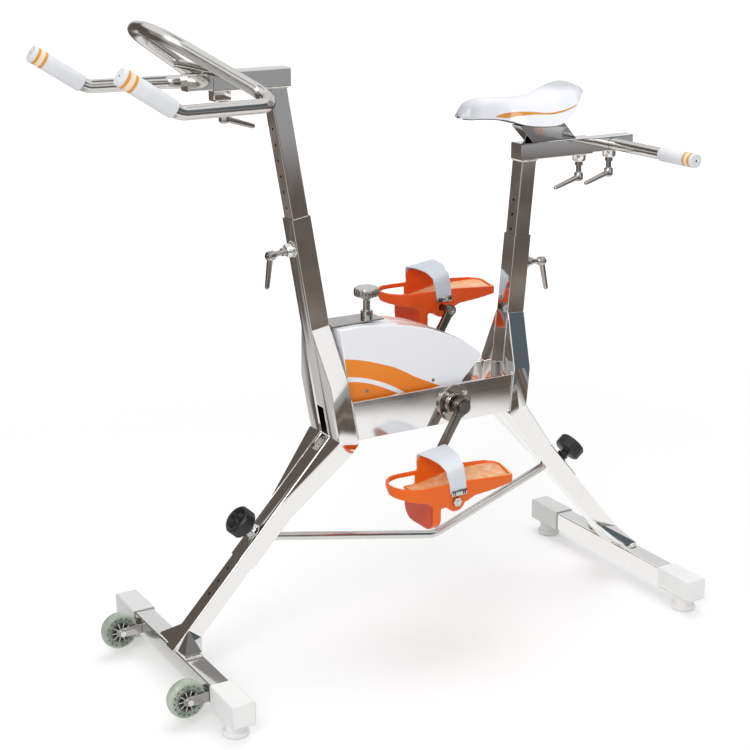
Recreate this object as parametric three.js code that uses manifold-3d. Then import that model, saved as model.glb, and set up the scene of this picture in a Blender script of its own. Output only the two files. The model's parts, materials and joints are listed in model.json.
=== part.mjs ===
// Aqua bike: a water exercise cycle with a stainless tube frame, two straddling leg pairs,
// a looped handlebar, a padded saddle, one side handle and two shoe pedals with straps.
// Millimetres, floor at Z 0, the rider faces -X, the rider's left is -Y.

import * as THREE from "three";
import { mergeVertices } from "three/addons/utils/BufferGeometryUtils.js";
import { ConvexGeometry } from "three/addons/geometries/ConvexGeometry.js";
import Module from "manifold-3d";

const wasm = await Module();
wasm.setup();

// Clearances and facet counts
const fit = {
  seam: 0.3, // between two pieces that touch
  slide: 0.5, // each side of a telescoping tube
  spin: 0.4, // round a turning shaft
  weld: 0.001, // vertices closer than this are one
};
const facets = { fine: 28, round: 24, tube: 20, small: 12, tiny: 10, hex: 6, bend: 8 };

// Square tubes
const sleeve = { side: 40, wall: 2 };
const post = { side: 35, wall: 2 };
const slider = { side: 30, wall: 2 };

// Frame layout
const reach = { front: 684, rear: 550 };
const head = { bendX: -182, bendZ: 440, lean: -9.6, top: 450, gussetStart: 233, gussetFull: 124 };
const seat = { bendX: 214, bendZ: 444, lean: 5, top: 354, gussetStart: 196, gussetFull: 87 };
const frontLeg = { sleeve: 303, gussetEnd: 180, gussetFull: 19, knobAt: 244, insert: 180 };
const rearLeg = { sleeve: 265, gussetEnd: 158, gussetFull: 1, knobAt: 217, insert: 150 };
const gusset = { halfWidth: 60, wall: 2 };
const frontSlot = { width: 26, up: 70, down: 46, depth: 6 };
const rail = { thickness: 8, low: 444, high: 522 };
const tie = {
  radius: 8.5, frontX: -322, frontZ: 257, bendX: 50, bendZ: 182.5, rearX: 324.5, rearZ: 281, fillet: 60,
};

// Floor bars, end caps, feet and wheels
const bar = { centreX: 524.5, centreZ: 53.5, side: 40, wall: 2, halfLength: 276 };
const cap = { end: 4, length: 97, side: 47, round: 3 };
const foot = { inset: 39, radius: 25.5, padHeight: 9, neckRadius: 20, padEdge: 2.5 };
const flare = {
  outerStart: 34, frontInnerStart: 37, rearInnerStart: 103,
  halfWidth: 60, rim: 6.5, root: 16, toe: 16.5, heel: 17.5,
};
const wheel = {
  ahead: 62, drop: 1, radius: 37, width: 24, round: 6, flatStart: 9, rimRadius: 21.5,
};
const hub = { radius: 21, width: 25, boreRadius: 4.4, spokes: 5, spokeWidth: 5, rimWidth: 3.5, core: 8 };
const fork = {
  height: 20, thickness: 3, gap: 1.5, capGap: 2.5, tail: 11.5, axleRadius: 4, headRadius: 7, headHeight: 4,
};
const capOuter = bar.halfLength + cap.end;
const footY = capOuter - foot.inset;
const wheelAt = {
  x: bar.centreX + wheel.ahead,
  y: capOuter - cap.length - fork.capGap - fork.thickness - fork.gap - wheel.width / 2,
  z: bar.centreZ - wheel.drop,
};

// Telescoping posts and their index holes
const headPost = { foot: 250, firstHole: 471, holes: 6, pitch: 30 };
const seatPost = { foot: 164, firstHole: 364, holes: 3, pitch: 29.5 };
const legHoles = { first: 330, count: 3, pitch: 30 };
const indexHole = { radius: 3, depth: 8 };

// Handlebar
const beam = {
  front: 424, rear: 272, centreZ: 1143, bossX: 405.5, bossHalfX: 15.5, bossHalfY: 14, bossDrop: 18, stemX: 399,
};
const barSlide = { front: 473, rear: 300, plug: 3 };
const grip = { length: 109, wall: 3.4, endWall: 3, edge: 2 };
const loop = {
  radius: 12.6,
  tipX: 676, tipY: 212.7, tipZ: 1187.5,
  prongX: 574.7, prongY: 211.5, prongZ: 1121.5, prongFillet: 38,
  turnX: 410, turnY: 200, turnZ: 1121.2, turnFillet: 30,
  backX: 376, backY: 133.3, backZ: 1126.2,
  apexX: 550, apexY: 65.8, apexZ: 1239.8, apexFillet: 78,
};
const crossTube = { radius: 8, x: 443 };

// Saddle side
const seatRail = { front: 237, rear: 415, centreZ: 963.5, endWall: 2 };
const railSlide = { front: 292, rear: 520, endWall: 2 };
const handle = { x: 468, z: 962.5, radius: 12, inner: 18, gripStart: 172, gripWall: 2.3, end: 272, dimple: 2 };
const bracket = {
  lowFront: 266.5, lowRear: 374, highFront: 234, highRear: 342, top: 1016, halfWidth: 15.5, wall: 3,
};
const saddle = {
  nose: 98, noseRound: 115, noseFull: 138, waist: 190, flareX: 225,
  wide: 282, wing: 312, tailStart: 345, tail: 386,
};
const saddleHalfWidth = {
  tip: 12, round: 25, full: 29, waist: 34, flare: 64, wide: 82, wing: 79, tailStart: 60, tail: 16,
};
const saddleCrown = {
  tip: 10, round: 28, full: 35.5, waist: 41, flare: 49, wide: 55, wing: 53, tailStart: 35, tail: 9,
};
const saddleLift = {
  tip: 24, round: 23, full: 23, waist: 17, flare: 7, wide: 7, wing: 22, tailStart: 46, tail: 59,
};
const saddleShell = {
  thickness: 3, inset: 4, cushionFloor: 4, noseSquare: 4.2, tailSquare: 2,
  around: 24, along: 24, easeShare: 2 / 3,
};
const saddlePad = { frontX: 240, rearX: 338, halfWidth: 22 };

// Clamp levers
const lever = {
  bossRadius: 13.5, bossHeight: 15, bossEdge: 3,
  stemRadius: 4, stemStart: 3,
  collarRadius: 8, collarStart: 15.4, collarEnd: 23,
  neckRadius: 5.5, hubStart: 36, hubRadius: 9.5, hubEnd: 56, hubEdge: 4,
  hubCentre: 47, armRoot: 6, armTip: 4.6, armReach: 61, armRise: 19, setback: 58.5,
};
const seatRailLever = { x: 394 };
const handleLever = { x: 471 };

// Leg knobs
const legKnob = {
  bossRadius: 13, bossHeight: 12, neckRadius: 9, neckEnd: 23, rearNeckEnd: 20, stemRadius: 5, stemStart: 3,
  radius: 29.5, depth: 28, edge: 4, lobes: 12, lobeDepth: 1.6, cupRadius: 21, cupDepth: 9,
  spokes: 5, spokeWidth: 5, spokeRoot: 1, spokeFloor: 10.8, spokeTop: 3, coreRadius: 8,
};

// Resistance knob and its plate
const knobPlate = { rear: -85, halfWidth: 27, low: 668, thickness: 3, reachFront: 199.4 };
const tension = {
  x: -108, stemFoot: 652, stemRadius: 5, nutRadius: 12, nutTop: 684, neckRadius: 7, neckTop: 704,
  bellRadius: 15, bellTop: 711, discRadius: 24.5, discLow: 713, discHigh: 730, edge: 3,
  knurls: 18, knurlDepth: 1, holeRadius: 7,
};

// Drive housing outline, front edge on the head tube, then over the top to the blunt rear
const housing = {
  side: 46, wall: 3, base: 452,
  crownFrontX: -192, crownFrontZ: 665, crownMidX: -150, crownMidZ: 667, crownRearX: -112, crownRearZ: 664.5,
  slopeAX: -72, slopeAZ: 659, slopeBX: -34, slopeBZ: 652, slopeCX: 4, slopeCZ: 642, slopeDX: 45, slopeDZ: 626,
  slopeEX: 88, slopeEZ: 606, tailTopX: 130, tailTopZ: 573, tailLowX: 129, tailLowZ: 564,
  waistX: 87, waistZ: 523, footX: 80, axleHole: 15,
};

// Crank, bearings and pedals
const crank = {
  x: 56, z: 485, length: 168, angle: 30.9, armInner: 85, armOuter: 95,
  bigRadius: 17, smallRadius: 12, waist: 8.5, neck: 20.4, hubInner: 80, shaftRadius: 10, squareSide: 13,
  nutRadius: 13, nutEnd: 102, spindleRadius: 6, spindleNutRadius: 9, spindleNut: 5,
};
const bearing = {
  radius: 38, depth: 12, lipRadius: 30, lipDepth: 2.5, boreRadius: 10.4, edge: 2,
  bolts: 4, boltRadius: 3.2, boltCircle: 25.5, boltHeight: 1.6,
};
const pedal = {
  leftY: -155, rightY: 172, halfWidth: 51.5,
  toeCentre: -68, heelOuter: 137, heelInner: 161, heelTaper: 7, taperStart: 90, cornerCut: 14,
  rimFront: 38, rimMid: 36, rimHeel: 26, rimMidX: 40,
  toeLow: 18, keelFrontLow: 4, archLow: -10, midLow: 3, heelLow: 13, archFrontX: -35, archRearX: 26, midX: 44,
  wall: 5.5, floor: 6, floorDip: 12, bedRise: 6,
  lobeRadius: 21, boreRadius: 6.6,
  keelFront: -55, keelRear: -34, keelBottom: -54, keelRound: 30,
  earFront: -27, earRear: 37, earTop: 62, earThickness: 5, earSlope: 8,
};
const strap = {
  thickness: 2.6, frontTopX: -26, frontTopZ: 70, rearTopX: 38, rearTopZ: 79, crown: 4,
  clipFrontX: -14, clipRearX: 22, clipZ: 17, bendFrontX: -22, bendRearX: 16, shoulder: 10, lowShoulder: 16,
  tailZ: 44, around: 26, across: 4, farCrownShare: 0.8, nearCrownShare: 0.6,
};

// Colours
const steel = new THREE.MeshStandardMaterial({ color: 0xb9b8b5, roughness: 0.18, metalness: 1 });
const chrome = new THREE.MeshStandardMaterial({ color: 0xd6d6d6, roughness: 0.08, metalness: 1 });
const darkSteel = new THREE.MeshStandardMaterial({ color: 0x55504c, roughness: 0.3, metalness: 1 });
const whitePlastic = new THREE.MeshStandardMaterial({ color: 0xf1f2f3, roughness: 0.3, metalness: 0 });
const whiteGloss = new THREE.MeshStandardMaterial({ color: 0xf4f5f8, roughness: 0.12, metalness: 0 });
const orangePlastic = new THREE.MeshStandardMaterial({ color: 0xee5a1c, roughness: 0.35, metalness: 0 });
const blackPlastic = new THREE.MeshStandardMaterial({ color: 0x1b1b1c, roughness: 0.45, metalness: 0 });
const darkPlastic = new THREE.MeshStandardMaterial({ color: 0x3a3836, roughness: 0.5, metalness: 0 });
const tyreRubber = new THREE.MeshStandardMaterial({ color: 0xc9d4c4, roughness: 0.35, metalness: 0 });
const strapRubber = new THREE.MeshStandardMaterial({ color: 0xd9dde2, roughness: 0.45, metalness: 0 });

// Solids and booleans
const quarter = Math.PI / 2;
const radians = THREE.MathUtils.degToRad;
const leftSide = -1;
const rightSide = 1;
const sides = { left: leftSide, right: rightSide };

function solidFrom(geometry) {
  const loose = geometry.index ? geometry.toNonIndexed() : geometry;
  const bare = new THREE.BufferGeometry().setAttribute("position", loose.getAttribute("position"));
  const merged = mergeVertices(bare, fit.weld);
  const vertProperties = new Float32Array(merged.attributes.position.array);
  const triVerts = new Uint32Array(merged.index.array);
  return new wasm.Manifold(new wasm.Mesh({ numProp: 3, vertProperties, triVerts }));
}

function geometryFrom(solid) {
  const made = solid.getMesh();
  const geometry = new THREE.BufferGeometry();
  geometry.setAttribute("position", new THREE.BufferAttribute(new Float32Array(made.vertProperties), 3));
  geometry.setIndex(new THREE.BufferAttribute(new Uint32Array(made.triVerts), 1));
  const flat = geometry.toNonIndexed();
  flat.computeVertexNormals();
  return flat;
}

function join(first, ...others) {
  return geometryFrom(others.reduce((all, next) => all.add(solidFrom(next)), solidFrom(first)));
}

function cut(body, ...tools) {
  return geometryFrom(tools.reduce((all, next) => all.subtract(solidFrom(next)), solidFrom(body)));
}

function common(body, tool) {
  return geometryFrom(solidFrom(body).intersect(solidFrom(tool)));
}

// Shapes from points, extruded along one axis between two stations
function outline(points) {
  return new THREE.Shape(points.map(([u, v]) => new THREE.Vector2(u, v)));
}

function prism(points, from, to, basis) {
  const body = new THREE.ExtrudeGeometry(outline(points), { depth: to - from, bevelEnabled: false });
  body.translate(0, 0, from);
  return body.applyMatrix4(basis);
}

const axisX = new THREE.Vector3(1, 0, 0);
const axisY = new THREE.Vector3(0, 1, 0);
const axisZ = new THREE.Vector3(0, 0, 1);
const alongX = new THREE.Matrix4().makeBasis(axisY, axisZ, axisX);
const alongY = new THREE.Matrix4().makeBasis(axisX, axisZ, axisY.clone().negate());
const alongZ = new THREE.Matrix4();

function prismX(pointsYZ, fromX, toX) {
  return prism(pointsYZ, fromX, toX, alongX);
}

function prismY(pointsXZ, fromY, toY) {
  return prism(pointsXZ, -toY, -fromY, alongY);
}

function prismZ(pointsXY, fromZ, toZ) {
  return prism(pointsXY, fromZ, toZ, alongZ);
}

function block(fromX, toX, fromY, toY, fromZ, toZ) {
  const body = new THREE.BoxGeometry(toX - fromX, toY - fromY, toZ - fromZ);
  return body.translate((fromX + toX) / 2, (fromY + toY) / 2, (fromZ + toZ) / 2);
}

// A turned piece: profile of [radius, height] from axis to axis, its height along the given axis
function turned(profile, axis, count = facets.round) {
  const points = profile.map(([radius, height]) => new THREE.Vector2(radius, height));
  const body = new THREE.LatheGeometry(points, count);
  const turn = new THREE.Quaternion().setFromUnitVectors(axisY, axis);
  return body.applyQuaternion(turn);
}

function rod(radius, from, to, axis, count = facets.round) {
  return turned([[0, from], [radius, from], [radius, to], [0, to]], axis, count);
}

function scalloped(radius, depth, lobes) {
  const count = lobes * 4;
  return Array.from({ length: count }, (_, i) => {
    const angle = (i / count) * 2 * Math.PI;
    const r = radius - depth * (i % 4 === 0 ? 1 : 0);
    return [r * Math.cos(angle), r * Math.sin(angle)];
  });
}

// A path through stations whose spacing is kept as given
class StationPath extends THREE.Curve {
  constructor(stations) {
    super();
    this.stations = stations;
  }
  getUtoTmapping(u) {
    return u;
  }
  getPoint(t, target = new THREE.Vector3()) {
    const last = this.stations.length - 1;
    const along = THREE.MathUtils.clamp(t, 0, 1) * last;
    const i = Math.min(Math.floor(along), last - 1);
    return target.lerpVectors(this.stations[i], this.stations[i + 1], along - i);
  }
}

// Stations of a polyline whose inner corners are rounded by arcs of the given radii
function roundedPath(corners, radii) {
  const stations = [corners[0]];
  for (let i = 1; i < corners.length - 1; i++) {
    const back = corners[i - 1].clone().sub(corners[i]).normalize();
    const ahead = corners[i + 1].clone().sub(corners[i]).normalize();
    const halfAngle = back.angleTo(ahead) / 2;
    const setback = radii[i - 1] / Math.tan(halfAngle);
    const toCentre = back.clone().add(ahead).normalize();
    const centre = corners[i].clone().addScaledVector(toCentre, radii[i - 1] / Math.sin(halfAngle));
    const start = corners[i].clone().addScaledVector(back, setback).sub(centre);
    const axis = new THREE.Vector3().crossVectors(back, ahead).normalize().negate();
    const sweep = Math.PI - 2 * halfAngle;
    const steps = Math.max(3, Math.round((sweep / quarter) * facets.bend));
    for (let k = 0; k <= steps; k++) {
      stations.push(start.clone().applyAxisAngle(axis, (sweep * k) / steps).add(centre));
    }
  }
  stations.push(corners[corners.length - 1]);
  return stations;
}

function tubeAlong(stations, radius, count = facets.round) {
  const circle = new THREE.Shape(
    Array.from({ length: count }, (_, i) => {
      const angle = (i / count) * 2 * Math.PI;
      return new THREE.Vector2(radius * Math.cos(angle), radius * Math.sin(angle));
    }),
  );
  const path = new StationPath(stations);
  const steps = stations.length - 1;
  return new THREE.ExtrudeGeometry(circle, { steps, extrudePath: path, bevelEnabled: false });
}

// Named meshes
function piece(name, geometry, material) {
  const mesh = new THREE.Mesh(geometry, material);
  mesh.name = name;
  return mesh;
}

// A prism with slanting ends, square in plan, its ends at low and high plus slope times X
function slantPrism(half, low, high, lowSlope, highSlope, halfY = half) {
  const ends = [
    [-half, low - half * lowSlope],
    [half, low + half * lowSlope],
    [half, high + half * highSlope],
    [-half, high - half * highSlope],
  ];
  return prismY(ends, -halfY, halfY);
}

function squareTube(stock, low, high, lowSlope = 0, highSlope = 0) {
  const outer = slantPrism(stock.side / 2, low, high, lowSlope, highSlope);
  const inner = stock.side / 2 - stock.wall;
  return cut(outer, slantPrism(inner, low - stock.side, high + stock.side, lowSlope, highSlope));
}

// The two frame elbows: an upright and a leg that meet at a mitre
function elbow(upright, foundX) {
  const across = foundX - upright.bendX;
  const down = upright.bendZ - bar.centreZ - bar.side / 2;
  const rake = Math.atan2(-across, down);
  const tilt = radians(upright.lean);
  return {
    tilt,
    rake,
    slope: Math.tan((rake - tilt) / 2),
    legLength: Math.hypot(across, down),
    place: new THREE.Vector3(upright.bendX, 0, upright.bendZ),
  };
}

const headElbow = elbow(head, -bar.centreX);
const seatElbow = elbow(seat, bar.centreX);

function tiltedGroup(place, tilt) {
  const group = new THREE.Group();
  group.position.copy(place);
  group.rotation.y = tilt;
  return group;
}

function toWorld(elbowAt, tilt) {
  return new THREE.Matrix4().makeRotationY(tilt).setPosition(elbowAt.place);
}

// Lever boss and lever, both along +X from the face of a tube
function leverBoss(bore) {
  const profile = [
    [0, -fit.seam],
    [lever.bossRadius, -fit.seam],
    [lever.bossRadius, lever.bossHeight - lever.bossEdge],
    [lever.bossRadius - lever.bossEdge, lever.bossHeight],
    [0, lever.bossHeight],
  ];
  const socket = rod(bore, lever.stemStart - fit.seam, lever.bossHeight * 2, axisX, facets.small);
  return cut(turned(profile, axisX), socket);
}

function leverBody(armTurn) {
  const shank = turned(
    [
      [0, lever.stemStart],
      [lever.stemRadius, lever.stemStart],
      [lever.stemRadius, lever.collarStart],
      [lever.collarRadius, lever.collarStart],
      [lever.collarRadius, lever.collarEnd],
      [lever.neckRadius, lever.collarEnd],
      [lever.neckRadius, lever.hubStart],
      [lever.hubRadius, lever.hubStart + lever.hubEdge],
      [lever.hubRadius, lever.hubEnd - lever.hubEdge],
      [lever.neckRadius, lever.hubEnd],
      [0, lever.hubEnd],
    ],
    axisX,
    facets.small,
  );
  const length = Math.hypot(lever.armReach, lever.armRise);
  const arm = turned(
    [
      [0, 0],
      [lever.armRoot, 0],
      [lever.armTip, length - lever.armTip],
      [lever.armTip * Math.SQRT1_2, length - lever.armTip * (1 - Math.SQRT1_2)],
      [0, length],
    ],
    new THREE.Vector3(lever.armRise, 0, lever.armReach).normalize(),
    facets.tiny,
  );
  arm.translate(lever.hubCentre, 0, 0);
  return join(shank, arm).rotateX(armTurn);
}

const leverBore = lever.stemRadius + fit.spin;

// Turned onto -X, +X or -Z faces
function onFace(geometry, facing, x, z) {
  return geometry.rotateY(facing).translate(x, 0, z);
}
const facingFront = Math.PI;
const facingRear = 0;
const facingDown = quarter;

// Frame
// The slot in the front face of the elbow, from low to high along the sleeve
function faceSlot(low, high) {
  const face = -sleeve.side / 2;
  const half = frontSlot.width / 2;
  return block(face - frontSlot.depth, face + frontSlot.depth, -half, half, low, high);
}

// A bore through the wall of a tube, along +X from its face
function wallBore(radius, wall) {
  return rod(radius, -wall * 2, wall, axisX, facets.small);
}

function headSleeve() {
  const half = sleeve.side / 2;
  const bossAt = head.top - lever.setback;
  const tube = squareTube(sleeve, fit.seam / 2, head.top, -headElbow.slope);
  const slot = faceSlot(-half, frontSlot.up);
  const bore = onFace(wallBore(leverBore, sleeve.wall), facingFront, -half, bossAt);
  const boss = onFace(leverBoss(leverBore), facingFront, -half, bossAt);
  return join(cut(tube, slot, bore), boss);
}

function seatSleeve() {
  const half = sleeve.side / 2;
  const bossAt = seat.top - lever.setback;
  const tube = squareTube(sleeve, fit.seam / 2, seat.top, -seatElbow.slope);
  const bore = onFace(wallBore(leverBore, sleeve.wall), facingRear, half, bossAt);
  const boss = onFace(leverBoss(leverBore), facingRear, half, bossAt);
  return join(cut(tube, bore), boss);
}

function knobBoss(bore) {
  const body = rod(legKnob.bossRadius, -fit.seam, legKnob.bossHeight, axisX);
  return cut(body, rod(bore, legKnob.stemStart - fit.seam, legKnob.bossHeight * 2, axisX, facets.small));
}

function legSleeve(leg, corner, facing, slot) {
  const half = sleeve.side / 2;
  const outward = facing === facingFront ? -half : half;
  const bore = legKnob.stemRadius + fit.spin;
  const tube = squareTube(sleeve, -leg.sleeve, -fit.seam / 2, 0, corner.slope);
  const drill = onFace(wallBore(bore, sleeve.wall), facing, outward, -leg.knobAt);
  const tools = slot ? [drill, faceSlot(-frontSlot.down, half)] : [drill];
  return join(cut(tube, ...tools), onFace(knobBoss(bore), facing, outward, -leg.knobAt));
}

// A folded box that widens the elbow: its flank tapers along the upright and along the leg
function elbowGusset(upright, leg, corner, side) {
  const half = sleeve.side / 2;
  const near = half + fit.seam;
  const far = gusset.halfWidth;
  const wall = gusset.wall;
  const overrun = far;
  const upperSlope = -corner.slope;
  const upper = (inset, open) => {
    const root = open ? near - wall : near;
    const flank = prismX(
      [
        [side * root, -overrun],
        [side * (far - inset), -overrun],
        [side * (far - inset), upright.gussetFull - inset],
        [side * root, upright.gussetStart - inset * 2],
      ],
      -half + inset,
      half - inset,
    );
    const trimmed = common(flank, slantPrism(far, 0, upright.gussetStart * 2, upperSlope, 0));
    return trimmed.applyMatrix4(toWorld(corner, corner.tilt));
  };
  const lower = (inset, open) => {
    const root = open ? near - wall : near;
    const flank = prismX(
      [
        [side * root, -leg.gussetEnd + inset * 2],
        [side * (far - inset), -leg.gussetFull],
        [side * (far - inset), overrun],
        [side * root, overrun],
      ],
      -half + inset,
      half - inset,
    );
    const trimmed = common(flank, slantPrism(far, -leg.gussetEnd * 2, 0, 0, corner.slope));
    return trimmed.applyMatrix4(toWorld(corner, corner.rake));
  };
  return cut(join(upper(0, false), lower(0, false)), join(upper(wall, true), lower(wall, true)));
}

function sideRail(side) {
  const halfAcross = (corner) => (sleeve.side / 2 + fit.seam) / Math.cos(corner.tilt);
  const frontAt = (z) => head.bendX + (z - head.bendZ) * Math.tan(headElbow.tilt) + halfAcross(headElbow);
  const rearAt = (z) => seat.bendX + (z - seat.bendZ) * Math.tan(seatElbow.tilt) - halfAcross(seatElbow);
  const outer = gusset.halfWidth;
  const body = prismY(
    [
      [frontAt(rail.low), rail.low],
      [rearAt(rail.low), rail.low],
      [rearAt(rail.high), rail.high],
      [frontAt(rail.high), rail.high],
    ],
    Math.min(side * outer, side * (outer - rail.thickness)),
    Math.max(side * outer, side * (outer - rail.thickness)),
  );
  const hole = rod(crank.shaftRadius + fit.spin, -outer * 2, outer * 2, axisY).translate(crank.x, 0, crank.z);
  return cut(body, hole);
}

function tieTube() {
  const overrun = tie.radius * 2;
  const frontRise = (tie.frontZ - tie.bendZ) / (tie.bendX - tie.frontX);
  const rearRise = (tie.rearZ - tie.bendZ) / (tie.rearX - tie.bendX);
  const corners = [
    new THREE.Vector3(tie.frontX - overrun, 0, tie.frontZ + overrun * frontRise),
    new THREE.Vector3(tie.bendX, 0, tie.bendZ),
    new THREE.Vector3(tie.rearX + overrun, 0, tie.rearZ + overrun * rearRise),
  ];
  const long = tubeAlong(roundedPath(corners, [tie.fillet]), tie.radius, facets.small);
  const trim = (leg, corner) => {
    const solidLeg = slantPrism(sleeve.side / 2 + fit.seam, -leg.sleeve * 2, 0, 0, 0);
    return solidLeg.applyMatrix4(toWorld(corner, corner.rake));
  };
  return cut(long, trim(frontLeg, headElbow), trim(rearLeg, seatElbow));
}

function bearingCover(side) {
  const base = gusset.halfWidth + fit.seam;
  const top = gusset.halfWidth + bearing.depth;
  const cover = turned(
    [
      [0, base],
      [bearing.radius, base],
      [bearing.radius, top - bearing.lipDepth - bearing.edge],
      [bearing.radius - bearing.edge, top - bearing.lipDepth],
      [bearing.lipRadius, top - bearing.lipDepth],
      [bearing.lipRadius - bearing.edge, top],
      [0, top],
    ],
    axisY,
    facets.fine,
  );
  const bore = rod(bearing.boreRadius, base - bearing.depth, top + bearing.depth, axisY);
  let body = cut(cover, bore);
  for (let i = 0; i < bearing.bolts; i++) {
    const angle = ((i + 1 / 2) / bearing.bolts) * 2 * Math.PI;
    const bolt = rod(bearing.boltRadius, top - bearing.lipDepth, top + bearing.boltHeight, axisY, facets.tiny);
    bolt.translate(bearing.boltCircle * Math.cos(angle), 0, bearing.boltCircle * Math.sin(angle));
    body = join(body, bolt);
  }
  return body.rotateZ(side === leftSide ? Math.PI : 0).translate(crank.x, 0, crank.z);
}

// Drive housing, two shells that meet on the centre plane
function housingOutline() {
  const behindHead = (sleeve.side / 2 + fit.seam) / Math.cos(headElbow.tilt);
  const frontAt = (z) => head.bendX + (z - head.bendZ) * Math.tan(headElbow.tilt) + behindHead;
  return [
    [frontAt(housing.base), housing.base],
    [housing.footX, housing.base],
    [housing.waistX, housing.waistZ],
    [housing.tailLowX, housing.tailLowZ],
    [housing.tailTopX, housing.tailTopZ],
    [housing.slopeEX, housing.slopeEZ],
    [housing.slopeDX, housing.slopeDZ],
    [housing.slopeCX, housing.slopeCZ],
    [housing.slopeBX, housing.slopeBZ],
    [housing.slopeAX, housing.slopeAZ],
    [housing.crownRearX, housing.crownRearZ],
    [housing.crownMidX, housing.crownMidZ],
    [Math.max(housing.crownFrontX, frontAt(housing.crownFrontZ)), housing.crownFrontZ],
  ];
}

function insetOutline(points, distance) {
  return points.map(([x, z], i) => {
    const [px, pz] = points[(i + points.length - 1) % points.length];
    const [nx, nz] = points[(i + 1) % points.length];
    const before = new THREE.Vector2(x - px, z - pz).normalize();
    const after = new THREE.Vector2(nx - x, nz - z).normalize();
    const inward = new THREE.Vector2(-before.y - after.y, before.x + after.x).normalize();
    const spread = Math.max(inward.dot(new THREE.Vector2(-before.y, before.x)), 1 / 2);
    return [x + (inward.x * distance) / spread, z + (inward.y * distance) / spread];
  });
}

function housingHalf(side) {
  const points = housingOutline();
  const [innerY, outerY] = [fit.seam / 2, housing.side];
  const ordered = (a, b) => [Math.min(side * a, side * b), Math.max(side * a, side * b)];
  const shell = prismY(points, ...ordered(innerY, outerY));
  const cavity = prismY(insetOutline(points, housing.wall), ...ordered(-housing.wall, outerY - housing.wall));
  const axleHole = rod(housing.axleHole, -outerY * 2, outerY * 2, axisY).translate(crank.x, 0, crank.z);
  const stemFrom = housing.crownRearZ - housing.wall * 4;
  const stemHole = rod(tension.holeRadius, stemFrom, housing.crownRearZ * 2, axisZ, facets.small);
  return cut(shell, cavity, axleHole, stemHole.translate(tension.x, 0, 0));
}

function tensionPlate() {
  const { low, thickness, halfWidth } = knobPlate;
  const body = block(-knobPlate.reachFront, knobPlate.rear, -halfWidth, halfWidth, low, low + thickness);
  const hole = rod(tension.stemRadius + fit.spin, low - thickness, low + thickness * 2, axisZ, facets.small);
  return cut(body, hole.translate(tension.x, 0, 0));
}

function tensionKnob() {
  const nutLow = knobPlate.low + knobPlate.thickness + fit.seam;
  const spindle = turned(
    [
      [0, tension.stemFoot],
      [tension.stemRadius, tension.stemFoot],
      [tension.stemRadius, nutLow],
      [tension.nutRadius, nutLow],
      [tension.nutRadius, tension.nutTop],
      [tension.neckRadius, tension.nutTop],
      [tension.neckRadius, tension.neckTop],
      [tension.bellRadius, tension.bellTop],
      [tension.bellRadius, tension.discLow + tension.edge],
      [0, tension.discLow + tension.edge],
    ],
    axisZ,
  );
  const rim = scalloped(tension.discRadius, tension.knurlDepth, tension.knurls);
  const knurled = prismZ(rim, tension.discLow, tension.discHigh);
  const dome = turned(
    [
      [0, tension.discLow - tension.edge],
      [tension.discRadius - tension.edge * 2, tension.discLow - tension.edge],
      [tension.discRadius + tension.edge, tension.discLow + tension.edge],
      [tension.discRadius + tension.edge, tension.discHigh - tension.edge * 2],
      [tension.discRadius - tension.edge, tension.discHigh],
      [0, tension.discHigh],
    ],
    axisZ,
    facets.fine,
  );
  return join(spindle, common(knurled, dome));
}

// Posts, with their index holes in the front face
function heldPost(stock, foot, topSlope, top, holes) {
  const half = stock.side / 2;
  const tube = squareTube(stock, foot, top, 0, topSlope);
  const drills = Array.from({ length: holes.count }, (_, i) => {
    const drill = rod(indexHole.radius, -indexHole.depth, indexHole.depth, axisX, facets.tiny);
    return drill.translate(-half, 0, holes.first + i * holes.pitch);
  });
  return cut(tube, ...drills);
}

function headPostBody() {
  const reachUp = (beam.centreZ - post.side / 2 - fit.seam - head.bendZ) / Math.cos(headElbow.tilt);
  return heldPost(post, headPost.foot, Math.tan(headElbow.tilt), reachUp, {
    first: headPost.firstHole,
    count: headPost.holes,
    pitch: headPost.pitch,
  });
}

function seatPostBody() {
  const reachUp = (seatRail.centreZ - post.side / 2 - fit.seam - seat.bendZ) / Math.cos(seatElbow.tilt);
  return heldPost(post, seatPost.foot, Math.tan(seatElbow.tilt), reachUp, {
    first: seatPost.firstHole,
    count: seatPost.holes,
    pitch: seatPost.pitch,
  });
}

// Horizontal square tube with one closed end, from front to rear along X
function railTube(stock, front, rear, z, endWall, closedFront) {
  const half = stock.side / 2;
  const bore = half - stock.wall;
  const outer = block(front, rear, -half, half, z - half, z + half);
  const from = closedFront ? front + endWall : front - endWall;
  const to = closedFront ? rear + endWall : rear - endWall;
  return cut(outer, block(from, to, -bore, bore, z - bore, z + bore));
}

function handlebarBeam() {
  const half = post.side / 2;
  const low = beam.centreZ - half;
  const tube = railTube(post, -beam.front, -beam.rear, beam.centreZ, post.wall, false);
  const pad = block(
    -beam.bossX - beam.bossHalfX,
    -beam.bossX + beam.bossHalfX,
    -beam.bossHalfY,
    beam.bossHalfY,
    low - beam.bossDrop,
    low,
  );
  const drill = rod(leverBore, low - beam.bossDrop * 2, beam.centreZ, axisZ, facets.small);
  return cut(join(tube, pad), drill.translate(-beam.stemX, 0, 0));
}

function handlebarSlide() {
  return railTube(slider, -barSlide.front, -barSlide.rear, beam.centreZ, barSlide.plug, true);
}

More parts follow.
